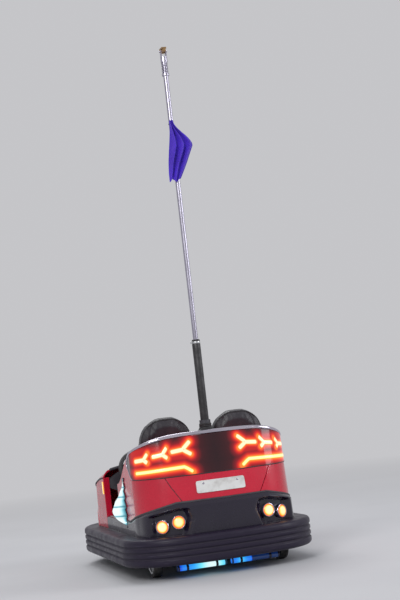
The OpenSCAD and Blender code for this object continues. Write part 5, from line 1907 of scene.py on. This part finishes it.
# %% Ties, spring and contact gear
SPRING_R, TURNS, SPRING_H = 0.0185, 7, 0.070
fork_low, fork_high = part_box("contact_fork")
ties = []
for z in (PENNANT_TOP - 0.02, PENNANT_TOP - PENNANT_H / 2, PENNANT_TOP - PENNANT_H + 0.03):
    tie = bm_lathe(ring_profile(POLE_R + 0.0002, POLE_R + 0.0018, -0.003, 0.003), 32)
    lock = bm_box((0.004, POLE_R - 0.001, -0.0035), (0.012, POLE_R + 0.0055, 0.0035), 0.001, 1)
    ties.append(on_pole(merged([tie, lock]), z))


def helix(u):
    angle = u * tau * TURNS
    away = Vector((cos(angle), sin(angle), 0))
    return POLE + away * SPRING_R + Vector((0, 0, mix(fork_low.z - SPRING_H, fork_low.z - 0.004, u))), away


spring = bm_bead(helix, 260, 0.0020, 1.0, 8, ends=False)
stop = on_pole(bm_lathe(ring_profile(0.0155, 0.0225, -0.012, 0), 36), fork_low.z - SPRING_H)
pins = [bm_bolt(POLE + Vector((side * 0.018, 0, fork_high.z - 0.007)), (side, 0, 0), 0.0060) for side in SIDES]
piece("pennant_ties", ties, grip)
piece("contact_spring", [spring, stop], pole_steel)
piece("contact_pin_nuts", pins, pole_steel)

# %% [markdown]
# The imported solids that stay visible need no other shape. They only get the finish of what they are made
# of.

# %% Finishes of the solids that stay
KEPT = {dash_plastic: ("dash", "seat_base"), mat_plastic: ("floor_mat",), shoe_bronze: ("contact_shoe",),
        pole_steel: ("pole", "contact_fork"), cast_iron: ("slewing_ring", "drive_fork", "drive_motor"),
        frame_steel: ("pole_socket", "steering_column", "pedal", "bumper_band", "floor_plate", "rear_axles")}
for material, names in KEPT.items():
    for name in names:
        nodes[name].data.materials.clear()
        nodes[name].data.materials.append(material)
print("solids that stay:", sum(len(names) for names in KEPT.values()))

# %% [markdown]
# A light bar hangs under the tail in two tubes and throws a cyan glow on the track. The attribute core says
# how bright a place is: the far half of the second tube has gone out, as in the photograph.

# %% Light under the tail
TUBE_R, GAP, CAP_LONG, DARK_FROM = 0.017, 0.030, 0.0110, -0.135
lamp_low, lamp_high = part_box("under_lamp")
lamp_y, lamp_z = (lamp_low.y + lamp_high.y) / 2, lamp_low.z + TUBE_R
tube_long = lamp_high.x - GAP / 2
TUBE = [(0, 0), (TUBE_R * 0.80, 0), *[(TUBE_R * 0.96, 0.001 + i * (tube_long - 0.002) / 40) for i in range(41)],
        (TUBE_R * 0.80, tube_long), (0, tube_long)]
CAP = [(0, 0), (TUBE_R, 0), (TUBE_R, 0.009), (TUBE_R * 0.9, 0.0105), (0, 0.011)]


def tube_light(co):
    if co.x > 0:
        hot = exp(-((co.x - 0.105) / 0.095) ** 2)
        return mix(0.30, 1.0, hot) * clip((lamp_high.x - co.x) / 0.03)
    return 0.30 + 0.30 * exp(-((co.x + 0.075) / 0.025) ** 2) if co.x > DARK_FROM else 0.0


tubes, caps, clips = [], [], []
for side in SIDES:
    inner, outer = side * GAP / 2, side * lamp_high.x
    tube = place_on(bm_lathe(TUBE, 28), (inner, lamp_y, lamp_z), (side, 0, 0))
    tubes.append(written(tube, "core", tube_light))
    for x, way in ((inner, -side), (outer, side)):
        caps.append(place_on(bm_lathe(CAP, 28), (x - way * CAP_LONG, lamp_y, lamp_z), (way, 0, 0)))
    for x in (mix(inner, outer, 0.2), mix(inner, outer, 0.8)):
        hoop = bm_lathe(ring_profile(TUBE_R * 0.97, TUBE_R * 1.10, -0.007, 0.007), 28, "X")
        post = bm_box((x - 0.006, lamp_y - 0.005, lamp_z + TUBE_R * 0.9),
                      (x + 0.006, lamp_y + 0.005, lamp_high.z), 0.001, 1)
        clips += [moved(hoop, (x, lamp_y, lamp_z)), post]
piece("under_tail_tubes", tubes, cyan_light, stands_for="under_lamp", sharp=50)
piece("under_tail_caps", caps + clips, black_coat)
print("light bar", round(lamp_high.x * 2, 3), "m wide at z", round(lamp_z, 3))

# %% [markdown]
# A tyre is a solid band with square shoulders. Its lathe profile has a groove round it, and slots across
# are made by pressing every third column of the spun tread inwards. The wheel centres are turned aluminium
# discs with a raised hub, a dished web and a ring of bolts.

# %% Tyres and wheel centres
SLOT, SHOULDER, DISH, CLEAR = 0.0028, 0.006, 0.012, 0.0001


def bm_tyre(radius, width, rim, steps):
    half = width / 2
    side = [(rim, 0.001), (radius - SHOULDER, 0), (radius - 0.0015, 0.0035), (radius, SHOULDER)]
    groove = [(radius, 0.006), (radius - SLOT, 0.0045)]
    rows = ([(r, z - half) for r, z in side] + [(r, -z) for r, z in groove] + [(r, z) for r, z in groove[::-1]]
            + [(r, half - z) for r, z in side[::-1]] + [(rim, 0.001 - half)])
    bm = bm_lathe(rows, steps)
    for vert in bm.verts:
        r = vert.co.xy.length
        column = round(atan2(vert.co.y, vert.co.x) / tau * steps) % 3
        if r > radius - 0.004 and abs(vert.co.z) > half * 0.35 and column == 0:
            vert.co.xy *= (r - SLOT) / r
    return bm


def bm_centre(outer, width, hub, bore):
    half = width / 2
    side = [(bore, 0), (hub, 0), (hub, 0.006), (hub + 0.006, DISH), (outer * 0.80, DISH), (outer * 0.88, 0.004),
            (outer, 0.003)]
    rows = [(r, z - half) for r, z in side] + [(r, half - z) for r, z in side[::-1]] + [(bore, -half)]
    disc = bm_lathe(rows, 56)
    bolts = [bolt for face in SIDES
             for bolt in bolt_circle((0, 0, face * (half - DISH)), outer * 0.62, 6, (0, 0, face), 0.0052)]
    return merged([disc, *bolts])


def box_middle(name):
    low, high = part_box(name)
    return (low + high) / 2


def on_wheel(name, make, *sizes):
    """A tyre or wheel centre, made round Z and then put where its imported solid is."""
    low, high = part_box(name)
    return place_on(make((high.z - low.z) / 2 - CLEAR, high.x - low.x, *sizes), box_middle(name), (1, 0, 0))


for name, body, rim, steps in (("drive_tyre", "drive_wheel", 0.0955, 72),
                               ("rear_tyre_left", "rear_wheel_left", 0.0755, 54),
                               ("rear_tyre_right", "rear_wheel_right", 0.0755, 54)):
    piece(name + "_tread", on_wheel(name, bm_tyre, rim, steps), tyre_black, body=body,
          stands_for=name, sharp=30)
for name, body, hub, bore in (("drive_hub", "drive_wheel", 0.034, 0.01505),
                              ("rear_hub_left", "rear_wheel_left", 0.022, 0.01005),
                              ("rear_hub_right", "rear_wheel_right", 0.022, 0.01005)):
    piece(name + "_disc", on_wheel(name, bm_centre, hub, bore), aluminium, body=body,
          stands_for=name, sharp=35)

# %% [markdown]
# The drive unit hangs in the nose, and its casting comes from the frame. Added are the motor's cooling fins
# and end cover, bolts round the slewing ring and the turntable, and the nuts on the rear axles.

# %% Drive unit fittings
RING_R, TABLE_R, COVER_BOLTS = 0.227, 0.185, 6
motor_low, motor_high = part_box("drive_motor")
motor_at, motor_r = box_middle("drive_motor"), (motor_high.z - motor_low.z) / 2
drive_y = box_middle("slewing_ring").y
FIN = [(motor_r - 0.001, -0.0012), (motor_r + 0.0045, -0.0008), (motor_r + 0.0045, 0.0008),
       (motor_r - 0.001, 0.0012), (motor_r - 0.001, -0.0012)]
COVER = [(0, 0), (motor_r * 0.82, 0), (motor_r * 0.78, 0.0035), (motor_r * 0.40, 0.0050), (0, 0.0050)]
fins = [moved(bm_lathe(FIN, 48, "X"),
              (mix(motor_low.x + 0.012, motor_high.x - 0.022, i / 8), motor_at.y, motor_at.z)) for i in range(9)]
fins.append(place_on(bm_lathe(COVER), (motor_high.x - 0.0046, motor_at.y, motor_at.z), (1, 0, 0)))
for i in range(COVER_BOLTS):
    angle = tau * (i + 0.5) / COVER_BOLTS
    spot = (motor_high.x - 0.0004, motor_at.y + cos(angle) * motor_r * 0.9,
            motor_at.z + sin(angle) * motor_r * 0.9)
    fins.append(bm_bolt(spot, (1, 0, 0), 0.0045, angle))
piece("motor_fins", fins, cast_iron, body="drive_unit", sharp=35)

flange_z, table_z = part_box("floor_plate")[1].z + 0.010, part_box("slewing_ring")[1].z + 0.0102
ring_bolts = bolt_circle((0, drive_y, flange_z), RING_R, 14, (0, 0, 1), 0.0065, 0.5)
table_bolts = bolt_circle((0, drive_y, table_z), TABLE_R, 10, (0, 0, 1), 0.0065)
axle_nuts = [bm_bolt(box_middle(name) + Vector((side * 0.0432, 0, 0)), (side, 0, 0), 0.0105, 0.3)
             for name in ("rear_hub_left", "rear_hub_right") for side in SIDES]
print("bolts:", len(ring_bolts) + len(table_bolts) + len(axle_nuts))
piece("ring_bolts", ring_bolts, pole_steel)
piece("turntable_bolts", table_bolts, pole_steel, body="drive_unit")
piece("axle_nuts", axle_nuts, pole_steel)
